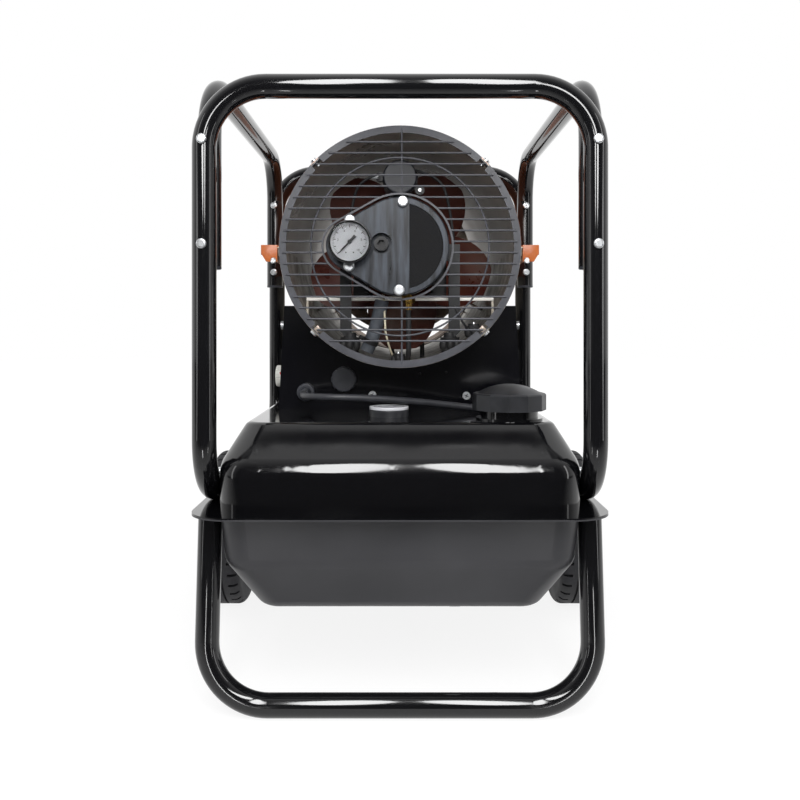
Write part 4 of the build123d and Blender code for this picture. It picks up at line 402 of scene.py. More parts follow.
# Flat black lacquer, for printed marks too: no shine.
NEEDLE_PAINT = Finish("needle_lacquer", "needle_black", "#0A0A0A", roughness=0.5, grain_mm=1.0,
                      grain_depth_mm=0.004)
# Glass fibre board under green resist: half glossy.
BOARD = Finish("glass_fibre_board", "circuit_green", "#1D5A33", "#17492A", patch_mm=10, roughness=0.4,
               grain_mm=1.5, grain_depth_mm=0.02)
# Sintered carbon: dark, with a faint metallic sheen.
CARBON = Finish("sintered_carbon", "carbon", "#26262A", roughness=0.5, metallic=0.2, grain_mm=0.8,
                grain_depth_mm=0.01)
# Enamelled copper wire: reddish, in close glossy lines.
COPPER = Finish("enamelled_copper", "windings", "#8A4A26", "#A35C30", patch_mm=5, roughness=0.3, metallic=0.9,
                pattern=Pattern.BRUSHED, grain_mm=0.8, grain_depth_mm=0.05, stretch=(1.0, 0.1, 1.0))
# Black lacquer on the gauge's case: glossy.
GAUGE_COAT = Finish("gauge_lacquer", "gauge_black", "#141416", roughness=0.22, grain_mm=1.2,
                    grain_depth_mm=0.006)
# Half clear polycarbonate, tinted pale as a painted reflection of the white glints on the clear cover, so
# that the rim reads as a pale ring.
RIM_CLEAR = Finish("pale_rim_painted_glint", "clear", "#E4E5EA", roughness=0.22, transmission=0.35,
                   grain_mm=2.0, grain_depth_mm=0.004)
# Cut edge of zinc sheet, painted near white as a highlight where it faces the light: a pale dull line.
LIP_PAINTED_HIGHLIGHT = Finish("bracket_edge_painted_highlight", "galvanised", "#F2EFE8", roughness=0.55, metallic=0.2, grain_mm=1.0,
                  grain_depth_mm=0.004)
# Enamelled dial: even off-white, without a glare.
DIAL_WHITE = Finish("dial_enamel", "plastic_white", "#D2D4D8", roughness=0.6, grain_mm=2.0,
                    grain_depth_mm=0.002)

NODE_FINISHES: dict[Finish, tuple[str, ...]] = {
    FRAME_COAT: (
        "rear_hoop", "front_hoop", "side_rails", "leg_hoop", "wheel_brackets", "rim_right", "rim_left",
    ),
    TANK_ENAMEL: ("tank_upper_shell", "filler_neck"),
    TANK_SATIN: ("tank_lower_shell",),
    BOX_COAT: ("control_box", "box_side_cover", "control_panel"),
    BARREL_COAT: ("upper_shell",),
    GALVANISED: ("lower_shell", "motor_bracket", "filler_strainer"),
    ZINC_PLATE: ("frame_bolts", "tank_drain_plug", "stub_axles", "housing_screws", "motor_shaft"),
    HEAT_STEEL: ("outlet_ring", "combustion_chamber", "flame_baffle", "burner_head"),
    FAN_PAINTED_REFLECTION: ("fan_impeller",),
    GUARD_COAT: ("fan_guard",),
    CAST_METAL: ("pump_body", "pump_cover"),
    MOTOR_PAINT: ("motor_body",),
    RUBBER: ("cap_gasket", "fuel_and_air_lines"),
    TYRE_RUBBER: ("tyre_right", "tyre_left"),
    LEAD_SHEATH: ("power_cord", "power_cord_coil"),
    ABS: ("rail_end_caps", "cable_gland", "thermostat_socket", "power_plug"),
    CAP_ABS: ("fuel_cap", "fuel_gauge_body"),
    CAPACITOR: ("motor_capacitor",),
    WHITE_PLASTIC: ("thermostat_knob", "float_arm"),
    RED_PLASTIC: ("rocker_switch", "fuel_pointer"),
    BRASS: ("air_fitting", "fuel_nozzle", "fuel_pickup"),
    CERAMIC: ("igniter_electrodes",),
    LENS: ("gauge_lenses",),
    FOAM: ("intake_filter",),
    NEEDLE_PAINT: ("pressure_needle",),
    BOARD: ("control_unit",),
    CARBON: ("pump_rotor",),
    COPPER: ("motor_stator",),
    GAUGE_COAT: ("pressure_gauge", "adjusting_screw"),
}


# ---- shared steps of the pieces ----
def link_new(name: str, data: bpy.types.ID) -> bpy.types.Object:
    """Make an object at the origin and put it in the scene.

    Args:
        name: the object's name.
        data: its mesh, curve, light or camera.

    Returns:
        The new object.
    """
    obj = bpy.data.objects.new(name, data)
    bpy.context.scene.collection.objects.link(obj)
    return obj


def place(
    obj: bpy.types.Object, finish: Finish, body: str = FIXED, stands_for: Sequence[str] = ()
) -> bpy.types.Object:
    """Dress a piece and hang it on its body.

    Args:
        obj: the piece, already in its place.
        finish: its surface.
        body: the body that carries it.
        stands_for: the nodes that it replaces.

    Returns:
        The same piece.
    """
    obj.data.materials.clear()
    obj.data.materials.append(finish.build())
    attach(obj, body)
    if stands_for:
        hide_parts(*stands_for)
    LOG.info("%s: %s on %s", obj.name, finish.name, body)
    return obj


def object_from(bm: bmesh.types.BMesh, name: str, smooth_below: float = 35.0) -> bpy.types.Object:
    """Write a bmesh to a new object, with outward faces and smooth shading across flat angles.

    Args:
        bm: the shape, which is freed.
        name: the object's name.
        smooth_below: degrees up to which an edge is shaded smooth.

    Returns:
        The new object, at the origin.
    """
    bmesh.ops.remove_doubles(bm, verts=bm.verts, dist=1e-6)
    bmesh.ops.recalc_face_normals(bm, faces=bm.faces)
    limit = math.radians(smooth_below)
    for face in bm.faces:
        face.smooth = True
    for edge in bm.edges:
        edge.smooth = len(edge.link_faces) == 2 and edge.calc_face_angle(0.0) < limit
    mesh = bpy.data.meshes.new(name)
    bm.to_mesh(mesh)
    bm.free()
    return link_new(name, mesh)


def round_edges(
    bm: bmesh.types.BMesh, edges: list[bmesh.types.BMEdge], radius: float, segments: int = 3
) -> None:
    """Round some edges of a shape.

    Args:
        bm: the shape.
        edges: the edges to round.
        radius: how far the rounding reaches from each edge.
        segments: flats across it.
    """
    bmesh.ops.bevel(
        bm, geom=edges, offset=radius, segments=segments, profile=0.5, affect="EDGES", material=-1
    )


def add_rod(
    bm: bmesh.types.BMesh, radii: tuple[float, float], depth: float, place_at: Matrix, sides: int = 32
) -> None:
    """Add a closed cylinder or cone along the local Z, from 0 to depth.

    Args:
        bm: the shape that takes it.
        radii: the radius at 0 and at depth.
        depth: its length.
        place_at: where it goes.
        sides: its number of sides.
    """
    bmesh.ops.create_cone(
        bm, cap_ends=True, segments=sides, radius1=radii[0], radius2=radii[1], depth=depth,
        matrix=place_at @ Matrix.Translation((0, 0, depth / 2)),
    )


def add_bar(bm: bmesh.types.BMesh, size: Sequence[float], place_at: Matrix, round_by: float = 0.0) -> None:
    """Add a bar about its middle, its edges rounded if asked.

    Args:
        bm: the shape that takes it.
        size: lengths along local X, Y and Z.
        place_at: where its middle goes.
        round_by: radius of its edges.
    """
    made = bmesh.ops.create_cube(bm, size=1.0, matrix=place_at @ Matrix.Diagonal((*size, 1.0)))["verts"]
    if round_by > 0:
        round_edges(bm, list({e for v in made for e in v.link_edges}), round_by)


def add_ring(
    bm: bmesh.types.BMesh, inner: float, outer: float, depth: float, place_at: Matrix, sides: int = 48
) -> None:
    """Add a flat ring about the local Z, from 0 to depth.

    Args:
        bm: the shape that takes it.
        inner: its inner radius.
        outer: its outer radius.
        depth: its thickness.
        place_at: where it goes.
        sides: its number of sides.
    """
    corners = ((inner, 0), (outer, 0), (outer, depth), (inner, depth))
    section = [bm.verts.new(place_at @ Vector((r, 0, z))) for r, z in corners]
    edges = [bm.edges.new((section[k], section[(k + 1) % 4])) for k in range(4)]
    bmesh.ops.spin(
        bm, geom=section + edges, cent=place_at.translation, axis=place_at.to_3x3() @ Vector((0, 0, 1)),
        angle=math.tau, steps=sides, use_merge=True,
    )


def facing(point: Sequence[float], way: Sequence[float] = REARWARD) -> Matrix:
    """A placement at a point whose local Z runs along a way."""
    return Matrix.Translation(point) @ Vector(way).to_track_quat("Z", "Y").to_matrix().to_4x4()


def smooth_curve(
    name: str, points: Iterable[Sequence[float]], radius: float, steps: int
) -> bpy.types.Curve:
    """A round curve along a smooth line.

    Args:
        name: the curve's name.
        points: the line's control points; it reaches the first and the last.
        radius: its radius.
        steps: steps from one control point to the next.

    Returns:
        The curve.
    """
    curve = bpy.data.curves.new(name, "CURVE")
    curve.dimensions = "3D"
    curve.bevel_depth, curve.bevel_resolution = radius, 4
    line = [Vector(p) for p in points]
    spline = curve.splines.new("NURBS")
    spline.points.add(len(line) - 1)
    for point, at in zip(spline.points, line):
        point.co = (*at, 1.0)
    spline.order_u = 3
    spline.use_endpoint_u = True
    spline.resolution_u = steps
    return curve


def mesh_of(curve: bpy.types.Curve) -> bpy.types.Mesh:
    """Turn a curve or a text into a mesh, and remove it.

    Args:
        curve: the curve or text.

    Returns:
        Its mesh.
    """
    helper = bpy.data.objects.new(curve.name, curve)
    mesh = bpy.data.meshes.new_from_object(helper)
    bpy.data.objects.remove(helper)
    bpy.data.curves.remove(curve)
    return mesh


def tube_object(name: str, points: Iterable[Sequence[float]], radius: float) -> bpy.types.Object:
    """A wire or hose along points, as a mesh.

    Args:
        name: the object's name.
        points: the line that it follows.
        radius: its radius.

    Returns:
        The new object.
    """
    curve = smooth_curve(name, points, radius, steps=8)
    curve.use_fill_caps = True
    mesh = mesh_of(curve)
    mesh.name = name
    mesh.polygons.foreach_set("use_smooth", [True] * len(mesh.polygons))
    return link_new(name, mesh)


# ---- mains lead ----
@dataclass
class MainsLead:
    """The free mains lead: out of the gland, along the box, over the tank and into a coil on the floor."""

    radius: float = 0.004
    length: float = 1.97
    coil_x: float = 0.060
    coil_y: float = 0.182
    inner_radius: float = 0.0355
    pitch: float = 0.0086
    turns: int = 3
    climb: float = 0.5              # of a turn, in which it climbs to the upper layer
    start_angle: float = 107.5
    points_per_turn: int = 16
    run_in: float = 0.040           # straight stretch before the coil
    tail: float = 0.030             # straight stretch from the coil to the plug

    tie_angle: float = -100.0       # where the band sits round the coil
    tie_inside: float = 0.0050      # its room inside, outside and over the turns
    tie_outside: float = 0.0062
    tie_over: float = 0.0012
    tie_width: float = 0.010
    tie_bend: float = 0.004
    tie_thick: float = 0.0011

    plug_relief: float = 0.024
    relief_radii: tuple[float, float] = (0.0046, 0.0066)
    ribs: int = 6
    rib_radius: float = 0.0050
    rib_growth: float = 0.0005      # from each rib to the next
    rib_share: float = 0.7          # of the way to the next rib
    plug_body: float = 0.034
    plug_width: float = 0.030
    plug_edge: float = 0.005
    pin_offset: float = 0.0095
    pin_radii: tuple[float, float] = (0.0024, 0.0012)       # of the pin and of its tip
    pin_length: float = 0.018
    pin_tip: float = 0.002
    pin_sunk: float = 0.001

    route: tuple[tuple[float, float, float], ...] = (
        (-0.116, -0.210, 0.3245),
        (-0.116, -0.251, 0.3245),
        (-0.086, -0.277, 0.3255),
        (-0.044, -0.271, 0.3245),
        (0.014, -0.253, 0.3190),
        (0.062, -0.237, 0.3126),
        (0.100, -0.232, 0.3076),
        (0.140, -0.227, 0.3072),
        (0.162, -0.193, 0.3072),
        (0.163, -0.148, 0.3072),
        (0.1605, -0.088, 0.3072),
        (0.163, -0.018, 0.3072),
        (0.1605, 0.052, 0.3072),
        (0.1625, 0.117, 0.3072),
        (0.161, 0.172, 0.3085),
        (0.162, 0.214, 0.2880),
        (0.163, 0.243, 0.2480),
        (0.164, 0.258, 0.2000),
        (0.163, 0.261, 0.1400),
        (0.162, 0.262, 0.0840),
        (0.157, 0.259, 0.0380),
        (0.127, 0.252, 0.0060),
    )

    def coil_point(self, turn: float, widen: float = 1.0) -> Vector:
        """A point of the coil: in on the floor, up where it turns back, and out on top.

        Args:
            turn: how many turns along it.
            widen: factor on the radius.

        Returns:
            The point.
        """
        angle = math.radians(self.start_angle) + math.tau * turn
        beyond = turn - self.turns / 2
        radius = (self.inner_radius + self.pitch * abs(beyond)) * widen
        climbed = min(max(beyond / self.climb + 0.5, 0.0), 1.0)
        height = self.radius + self.pitch * climbed**2 * (3 - 2 * climbed)
        return Vector(
            (self.coil_x + radius * math.cos(angle), self.coil_y + radius * math.sin(angle), height)
        )

    def coil_way(self, turn: float) -> Vector:
        """The way that the lead runs at a point of the coil."""
        return (self.coil_point(turn + 0.001) - self.coil_point(turn - 0.001)).normalized()

    def build(self) -> None:
        """Make the lead, its plug and the band round its coil."""
        # A quadratic spline runs inside its control points by this much, so the coil's are set wider.
        widen = 1 / math.cos(math.pi / self.points_per_turn)
        start, end = self.coil_point(0), self.coil_point(self.turns)
        line = [Vector(p) for p in self.route] + [start - self.coil_way(0) * self.run_in]
        count = self.points_per_turn * self.turns
        line += [self.coil_point(k / self.points_per_turn, widen) for k in range(count)]
        line += [end, end + self.coil_way(self.turns) * self.tail]
        lead = link_new("mains_lead", smooth_curve("mains_lead", line, self.radius, steps=10))
        place(lead, LEAD_SHEATH, stands_for=("power_cord", "power_cord_coil"))
        plug, pins = self.build_plug(line[-1])
        tie = self.build_tie()

    def build_tie(self) -> bpy.types.Object:
        """Make the band that holds the coil's turns together.

        Returns:
            The band.
        """
        angle = math.radians(self.tie_angle)
        inner = self.inner_radius - self.tie_inside
        outer = self.inner_radius + self.pitch * self.turns / 2 + self.tie_outside
        high = 2 * self.radius + self.pitch + self.tie_over
        out = Vector((math.cos(angle), math.sin(angle), 0)) * ((inner + outer) / 2)
        middle = Vector((self.coil_x, self.coil_y, high / 2)) + out
        at = Matrix.Translation(middle) @ Matrix.Rotation(angle, 4, "Z")
        bm = bmesh.new()
        add_bar(bm, (outer - inner, self.tie_width, high), at)
        # Without the two ends that the lead passes, the bar is a band.
        along = at.inverted().to_3x3()
        ends = [f for f in bm.faces if abs((along @ f.normal).y) > NEARLY_SQUARE]
        bmesh.ops.delete(bm, geom=ends, context="FACES")
        round_edges(bm, [e for e in bm.edges if not e.is_boundary], self.tie_bend, segments=5)
        bmesh.ops.solidify(bm, geom=list(bm.faces), thickness=self.tie_thick)
        return place(object_from(bm, "coil_tie"), RUBBER)

    def build_plug(self, start: Vector) -> tuple[bpy.types.Object, bpy.types.Object]:
        """Make the moulded plug with its ribbed relief, and its two pins.

        Args:
            start: where the lead enters it.

        Returns:
            The plug and its pins.
        """
        up, way = Vector((0, 0, 1)), self.coil_way(self.turns)
        across = up.cross(way).normalized()
        frame = Matrix.Translation(start) @ Matrix((up, across, way)).transposed().to_4x4()
        bm = bmesh.new()
        step = self.plug_relief / self.ribs
        for k in range(self.ribs):
            radius = self.rib_radius + self.rib_growth * k
            rib_at = frame @ Matrix.Translation((0, 0, k * step))
            add_rod(bm, (radius, radius), step * self.rib_share, rib_at, 24)
        add_rod(bm, self.relief_radii, self.plug_relief, frame, 24)
        middle = frame @ Matrix.Translation((0, 0, self.plug_relief + self.plug_body / 2))
        size = (2 * (self.radius + self.pitch), self.plug_width, self.plug_body)
        add_bar(bm, size, middle, self.plug_edge)
        plug = place(object_from(bm, "mains_plug"), ABS, stands_for=("power_plug",))
        bm = bmesh.new()
        thick, thin = self.pin_radii
        foot_z = self.plug_relief + self.plug_body - self.pin_sunk
        for side in SIDES:
            foot = frame @ Matrix.Translation((0, side * self.pin_offset, foot_z))
            add_rod(bm, (thick, thick), self.pin_length, foot, 20)
            tip = foot @ Matrix.Translation((0, 0, self.pin_length))
            add_rod(bm, (thick, thin), self.pin_tip, tip, 20)
        pins = place(object_from(bm, "mains_plug_pins"), ZINC_PLATE)
        return plug, pins


# ---- air gauge ----
@dataclass
class AirGauge:
    """The dial face of the air gauge, under its lens."""

    radius: float = 0.0213
    thick: float = 0.0006
    middle_x: float = 0.024         # from the case's left side
    back_y: float = 0.0069          # from the case's front to the face's back
    sweep: float = 270.0
    start: float = 225.0
    ticks: int = 50
    major_every: int = 5
    major: tuple[float, float] = (0.0034, 0.0008)           # length and width
    minor: tuple[float, float] = (0.0018, 0.0004)
    tick_inset: float = 0.0022
    ink: float = 0.0001             # how far the marks stand on the face
    dot_radius: float = 0.0008
    dot_x: float = 0.0042
    dot_z: float = -0.0118
    last_number: int = 10
    number_step: int = 2
    number_size: float = 0.0038
    number_inset: float = 0.0082
    hub_radii: tuple[float, float] = (0.0024, 0.0021)
    hub_high: float = 0.0006
    blade_lift: float = 0.0002
    blade_edge: float = 0.0001
    # Tail and pointer of the needle: how far out each lies, and its size.
    blades: tuple[tuple[float, tuple[float, float, float]], ...] = (
        (-0.0046, (0.0060, 0.0003, 0.0030)),
        (0.0055, (0.0120, 0.0003, 0.0012)),
    )

    def angle(self, share: float) -> float:
        """The angle at a share of the scale, in radians from the right."""
        return math.radians(self.start - self.sweep * share)

    def spot(self, middle: Vector, reach: float, angle: float, lift: float) -> Matrix:
        """A placement on the dial.

        Args:
            middle: the middle of the plane that it stands on.
            reach: its distance from there.
            angle: where it lies round the middle, in radians.
            lift: how far it stands in front.

        Returns:
            The placement, unturned.
        """
        out = Vector((math.cos(angle), 0, math.sin(angle))) * reach
        return Matrix.Translation(middle + out + Vector(REARWARD) * lift)

    def build(self) -> None:
        """Make the white face, its ticks, its numbers and the needle's blades."""
        low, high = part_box("pressure_gauge")
        back = Vector((low.x + self.middle_x, low.y + self.back_y, (low.z + high.z) / 2))
        bm = bmesh.new()
        add_rod(bm, (self.radius, self.radius), self.thick, facing(back), 64)
        place(object_from(bm, "air_gauge_face"), DIAL_WHITE)
        middle = back + Vector(REARWARD) * self.thick
        bm = bmesh.new()
        for k in range(self.ticks + 1):
            length, width = self.minor if k % self.major_every else self.major
            angle = self.angle(k / self.ticks)
            spot = self.spot(middle, self.radius - self.tick_inset - length / 2, angle, self.ink / 2)
            add_bar(bm, (length, self.ink, width), spot @ Matrix.Rotation(-angle, 4, "Y"))
        for side in SIDES:
            at = middle + Vector((side * self.dot_x, 0, self.dot_z))
            add_rod(bm, (self.dot_radius, self.dot_radius), self.ink, facing(at), 12)
        place(object_from(bm, "air_gauge_ticks"), NEEDLE_PAINT)
        self.build_numbers(middle)
        self.build_needle(middle)

    def build_needle(self, middle: Vector) -> None:
        """Make the needle's tail, pointer and hub, which turn with it.

        Args:
            middle: the middle of the face.
        """
        front = Vector((middle.x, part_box("pressure_needle")[0].y, middle.z))
        angle = self.angle(0)
        bm = bmesh.new()
        for reach, size in self.blades:
            spot = self.spot(front, reach, angle, self.blade_lift)
            add_bar(bm, size, spot @ Matrix.Rotation(-angle, 4, "Y"), self.blade_edge)
        add_rod(bm, self.hub_radii, self.hub_high, facing(front), 24)
        place(object_from(bm, "air_gauge_needle_tail"), NEEDLE_PAINT, body="dial_needle")

    def build_numbers(self, middle: Vector) -> None:
        """Make the plain numbers of the scale as one mesh.

        Args:
            middle: the middle of the face.
        """
        bm = bmesh.new()
        for number in range(0, self.last_number + 1, self.number_step):
            font = bpy.data.curves.new("number", "FONT")
            font.body, font.size = str(number), self.number_size
            font.align_x, font.align_y = "CENTER", "CENTER"
            mesh = mesh_of(font)
            angle = self.angle(number / self.last_number)
            spot = self.spot(middle, self.radius - self.number_inset, angle, self.ink)
            mesh.transform(spot @ Matrix.Rotation(math.pi / 2, 4, "X"))
            bm.from_mesh(mesh)
            bpy.data.meshes.remove(mesh)
        place(object_from(bm, "air_gauge_numbers"), NEEDLE_PAINT)


# ---- tank gauge ----
@dataclass
class TankGauge:
    """The dial of the tank gauge: a white face with five marks, and the clear rim of its cover."""

    spindle: float = 0.0014
    face_radius: float = 0.0183
    face_thick: float = 0.0003
    face_drop: float = 0.0050       # from the case's top
    half_sweep: float = 57.0
    marks_each_way: int = 2
    mark_reach: float = 0.0155
    mark_size: tuple[float, float, float] = (0.0040, 0.0009, 0.0001)
    rim: tuple[float, float] = (0.0178, 0.0226)
    rim_high: float = 0.0036
    rim_sunk: float = 0.0004
    rim_edge: float = 0.0007

    def build(self) -> None:
        """Make the face, its marks and the clear rim."""
        low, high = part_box("fuel_gauge_body")
        x, y, top = (low.x + high.x) / 2, (low.y + high.y) / 2, high.z
        floor_z = top - self.face_drop
        bm = bmesh.new()
        floor_at = Matrix.Translation((x, y, floor_z))
        add_ring(bm, self.spindle, self.face_radius, self.face_thick, floor_at)
        place(object_from(bm, "tank_gauge_face"), DIAL_WHITE)
        bm = bmesh.new()
        mark_z = floor_z + self.face_thick + self.mark_size[2] / 2
        for k in range(-self.marks_each_way, self.marks_each_way + 1):
            angle = math.radians(-90.0 + self.half_sweep * k / self.marks_each_way)
            at = (x + self.mark_reach * math.cos(angle), y + self.mark_reach * math.sin(angle), mark_z)
            add_bar(bm, self.mark_size, Matrix.Translation(at) @ Matrix.Rotation(angle, 4, "Z"))
        place(object_from(bm, "tank_gauge_marks"), NEEDLE_PAINT)
        # The clear rim, tinted pale: a painted reflection of white glints.
        bm = bmesh.new()
        add_ring(bm, *self.rim, self.rim_high, Matrix.Translation((x, y, top - self.rim_sunk)))
        round_edges(bm, [e for e in bm.edges if e.calc_face_angle(0) > SHARP], self.rim_edge)
        place(object_from(bm, "tank_gauge_rim"), RIM_CLEAR)


# ---- motor's surroundings ----
@dataclass
class RubberMount:
    """A rubber foot on the barrel's floor, with lobes round it and a screw in its top."""

    name: str
    x: float
    y: float
    height: float
    radius: float
    lobe: float                     # radius of each lobe
    lobes: int = 6
    lobes_at: float = 0.4           # share of the height
    lobe_stretch: float = 1.7
    lift: float = 0.0012            # over the sheet's lowest line
    base_flare: float = 1.15
    top_flare: float = 0.8
    collar_flare: float = 1.3
    collar_at: float = 0.62         # share of the height
    collar_high: float = 0.0035
    screw_radii: tuple[float, float] = (0.0026, 0.0020)
    screw_high: float = 0.0022
    screw_y: float = -0.001
    screw_sunk: float = 0.0003

    def build(self) -> None:
        """Make the foot and its screw."""
        floor_z = AXIS_Z - math.sqrt(BARREL_BORE**2 - self.x**2)
        foot = Matrix.Translation((self.x, self.y, floor_z + self.lift))
        bm = bmesh.new()
        add_rod(bm, (self.radius * self.base_flare, self.radius * self.top_flare), self.height, foot)
        collar = self.radius * self.collar_flare
        collar_at = foot @ Matrix.Translation((0, 0, self.height * self.collar_at))
        add_rod(bm, (collar, collar), self.collar_high, collar_at)
        up = Vector((0, 0, self.height * self.lobes_at))
        for k in range(self.lobes):
            angle = math.tau * (k + 0.5) / self.lobes
            out = Vector((math.cos(angle), math.sin(angle), 0)) * self.radius
            at = foot @ Matrix.Translation(out + up) @ Matrix.Diagonal((1, 1, self.lobe_stretch, 1))
            bmesh.ops.create_uvsphere(bm, u_segments=16, v_segments=10, radius=self.lobe, matrix=at)
        place(object_from(bm, self.name), RUBBER)
        bm = bmesh.new()
        screw_at = foot @ Matrix.Translation((0, self.screw_y, self.height - self.screw_sunk))
        add_rod(bm, self.screw_radii, self.screw_high, screw_at, 20)
        place(object_from(bm, self.name + "_screw"), ZINC_PLATE)


@dataclass(frozen=True)
class Wire:
    """A wire or hose: its sheath, its radius and the points that lead it."""

    name: str
    finish: Finish
    radius: float
    path: tuple[tuple[float, float, float], ...]

    def build(self) -> None:
        """Make it."""
        place(tube_object(self.name, self.path, self.radius), self.finish)


@dataclass
class MotorSurroundings:
    """What the grille shows round the motor: rubber feet, a hose, wires and the capacitor's clamp."""

    mount_y: float = -0.235
    # Name, X, height, radius and the lobes' radius of each mount.
    mounts: tuple[tuple[str, float, float, float, float], ...] = (
        ("motor_foot_left", -0.0590, 0.0235, 0.0088, 0.0046),
        ("motor_foot_right", 0.0590, 0.0235, 0.0088, 0.0046),
        ("line_grommet", -0.0020, 0.0125, 0.0062, 0.0038),
        ("cable_grommet", 0.0870, 0.0160, 0.0078, 0.0040),
    )
    hose: Wire = Wire(
        "pump_hose", HOSE_RUBBER, 0.0082,
        ((-0.021, -0.251, 0.436), (-0.024, -0.250, 0.420), (-0.030, -0.248, 0.398), (-0.039, -0.246, 0.377)),
    )
    hose_clamp_at: float = 0.35         # share of the hose's last stretch
    hose_clamp_bite: float = 0.0004
    hose_clamp_thick: float = 0.0011
    hose_clamp_width: float = 0.0055
    hose_lug: tuple[float, float, float] = (0.0050, 0.0075, 0.0050)
    hose_lug_shift: float = 0.0028      # outwards from the hose, and along it
    hose_lug_edge: float = 0.0008
    wires: tuple[Wire, ...] = (
        Wire("motor_wire_cream", WIRE_CREAM, 0.0012, (
            (-0.0190, -0.246, 0.442), (-0.0175, -0.262, 0.415),
            (-0.0165, -0.255, 0.392), (-0.0090, -0.238, 0.372),
        )),
        Wire("motor_wire_dark", RUBBER, 0.0017, (
            (-0.0240, -0.240, 0.585), (-0.0420, -0.244, 0.580),
            (-0.0560, -0.238, 0.560), (-0.0600, -0.232, 0.520),
        )),
        Wire("motor_wire_upper", RUBBER, 0.0017, (
            (0.0180, -0.236, 0.590), (0.0400, -0.244, 0.584),
            (0.0580, -0.240, 0.562), (0.0640, -0.234, 0.503),
        )),
        Wire("motor_wire_low", RUBBER, 0.0014, (
            (0.0640, -0.240, 0.430), (0.0720, -0.248, 0.412),
            (0.0800, -0.244, 0.402), (0.0870, -0.236, 0.396),
        )),
    )
    capacitor_z: float = 0.583
    capacitor_radius: float = 0.0205
    band_y: float = -0.2215
    band_bite: float = 0.0003
    band_thick: float = 0.0010
    band_width: float = 0.012
    ear_y: float = -0.2290
    ear_radius: float = 0.0056
    ear_depth: float = 0.010
    ears: tuple[tuple[float, float], ...] = ((-0.0235, 0.0010), (0.0235, -0.0150))  # X, Z from its middle
    ear_screw_radii: tuple[float, float] = (0.0024, 0.0020)
    ear_screw_high: float = 0.0016
    tag: tuple[float, float, float] = (0.0090, 0.0012, 0.0050)
    tag_at: tuple[float, float, float] = (-0.0300, -0.2300, 0.0005)
    tag_edge: float = 0.0005
    lip: tuple[float, float, float] = (0.2240, 0.0010, 0.0050)
    lip_at: tuple[float, float, float] = (0, -0.2236, 0.4389)
    lip_edge: float = 0.0004

    def build(self) -> None:
        """Make all of it."""
        for name, x, height, radius, lobe in self.mounts:
            RubberMount(name, x, self.mount_y, height, radius, lobe).build()
        self.hose.build()
        self.build_hose_clamp()
        for wire in self.wires:
            wire.build()
        self.build_capacitor_clamp()
        # A near-white strip on the bracket's front edge: a painted highlight.
        bm = bmesh.new()
        add_bar(bm, self.lip, Matrix.Translation(self.lip_at), self.lip_edge)
        place(object_from(bm, "bracket_lip"), LIP_PAINTED_HIGHLIGHT)

    def build_hose_clamp(self) -> None:
        """Make the clamp round the grey hose, with its lug."""
        before, last = Vector(self.hose.path[-2]), Vector(self.hose.path[-1])
        at = facing(before + (last - before) * self.hose_clamp_at, last - before)
        radius = self.hose.radius
        bm = bmesh.new()
        inner, outer = radius - self.hose_clamp_bite, radius + self.hose_clamp_thick
        add_ring(bm, inner, outer, self.hose_clamp_width, at)
        lug_at = at @ Matrix.Translation((0, radius + self.hose_lug_shift, self.hose_lug_shift))
        add_bar(bm, self.hose_lug, lug_at, self.hose_lug_edge)
        place(object_from(bm, "pump_hose_clamp"), MOTOR_PAINT)

    def build_capacitor_clamp(self) -> None:
        """Make the band round the capacitor, with an ear at each side and a bright tag."""
        inner, outer = self.capacitor_radius - self.band_bite, self.capacitor_radius + self.band_thick
        bm = bmesh.new()
        add_ring(bm, inner, outer, self.band_width, facing((0, self.band_y, self.capacitor_z), FORWARD))
        ears = [(x, self.ear_y, self.capacitor_z + z) for x, z in self.ears]
        for at in ears:
            add_rod(bm, (self.ear_radius, self.ear_radius), self.ear_depth, facing(at, FORWARD), 24)
        place(object_from(bm, "capacitor_clamp"), MOTOR_PAINT)
        bm = bmesh.new()
        tag_at = Vector(self.tag_at) + Vector((0, 0, self.capacitor_z))
        add_bar(bm, self.tag, Matrix.Translation(tag_at), self.tag_edge)
        add_rod(bm, self.ear_screw_radii, self.ear_screw_high, facing(ears[-1]), 16)
        place(object_from(bm, "capacitor_tag"), ZINC_PLATE)


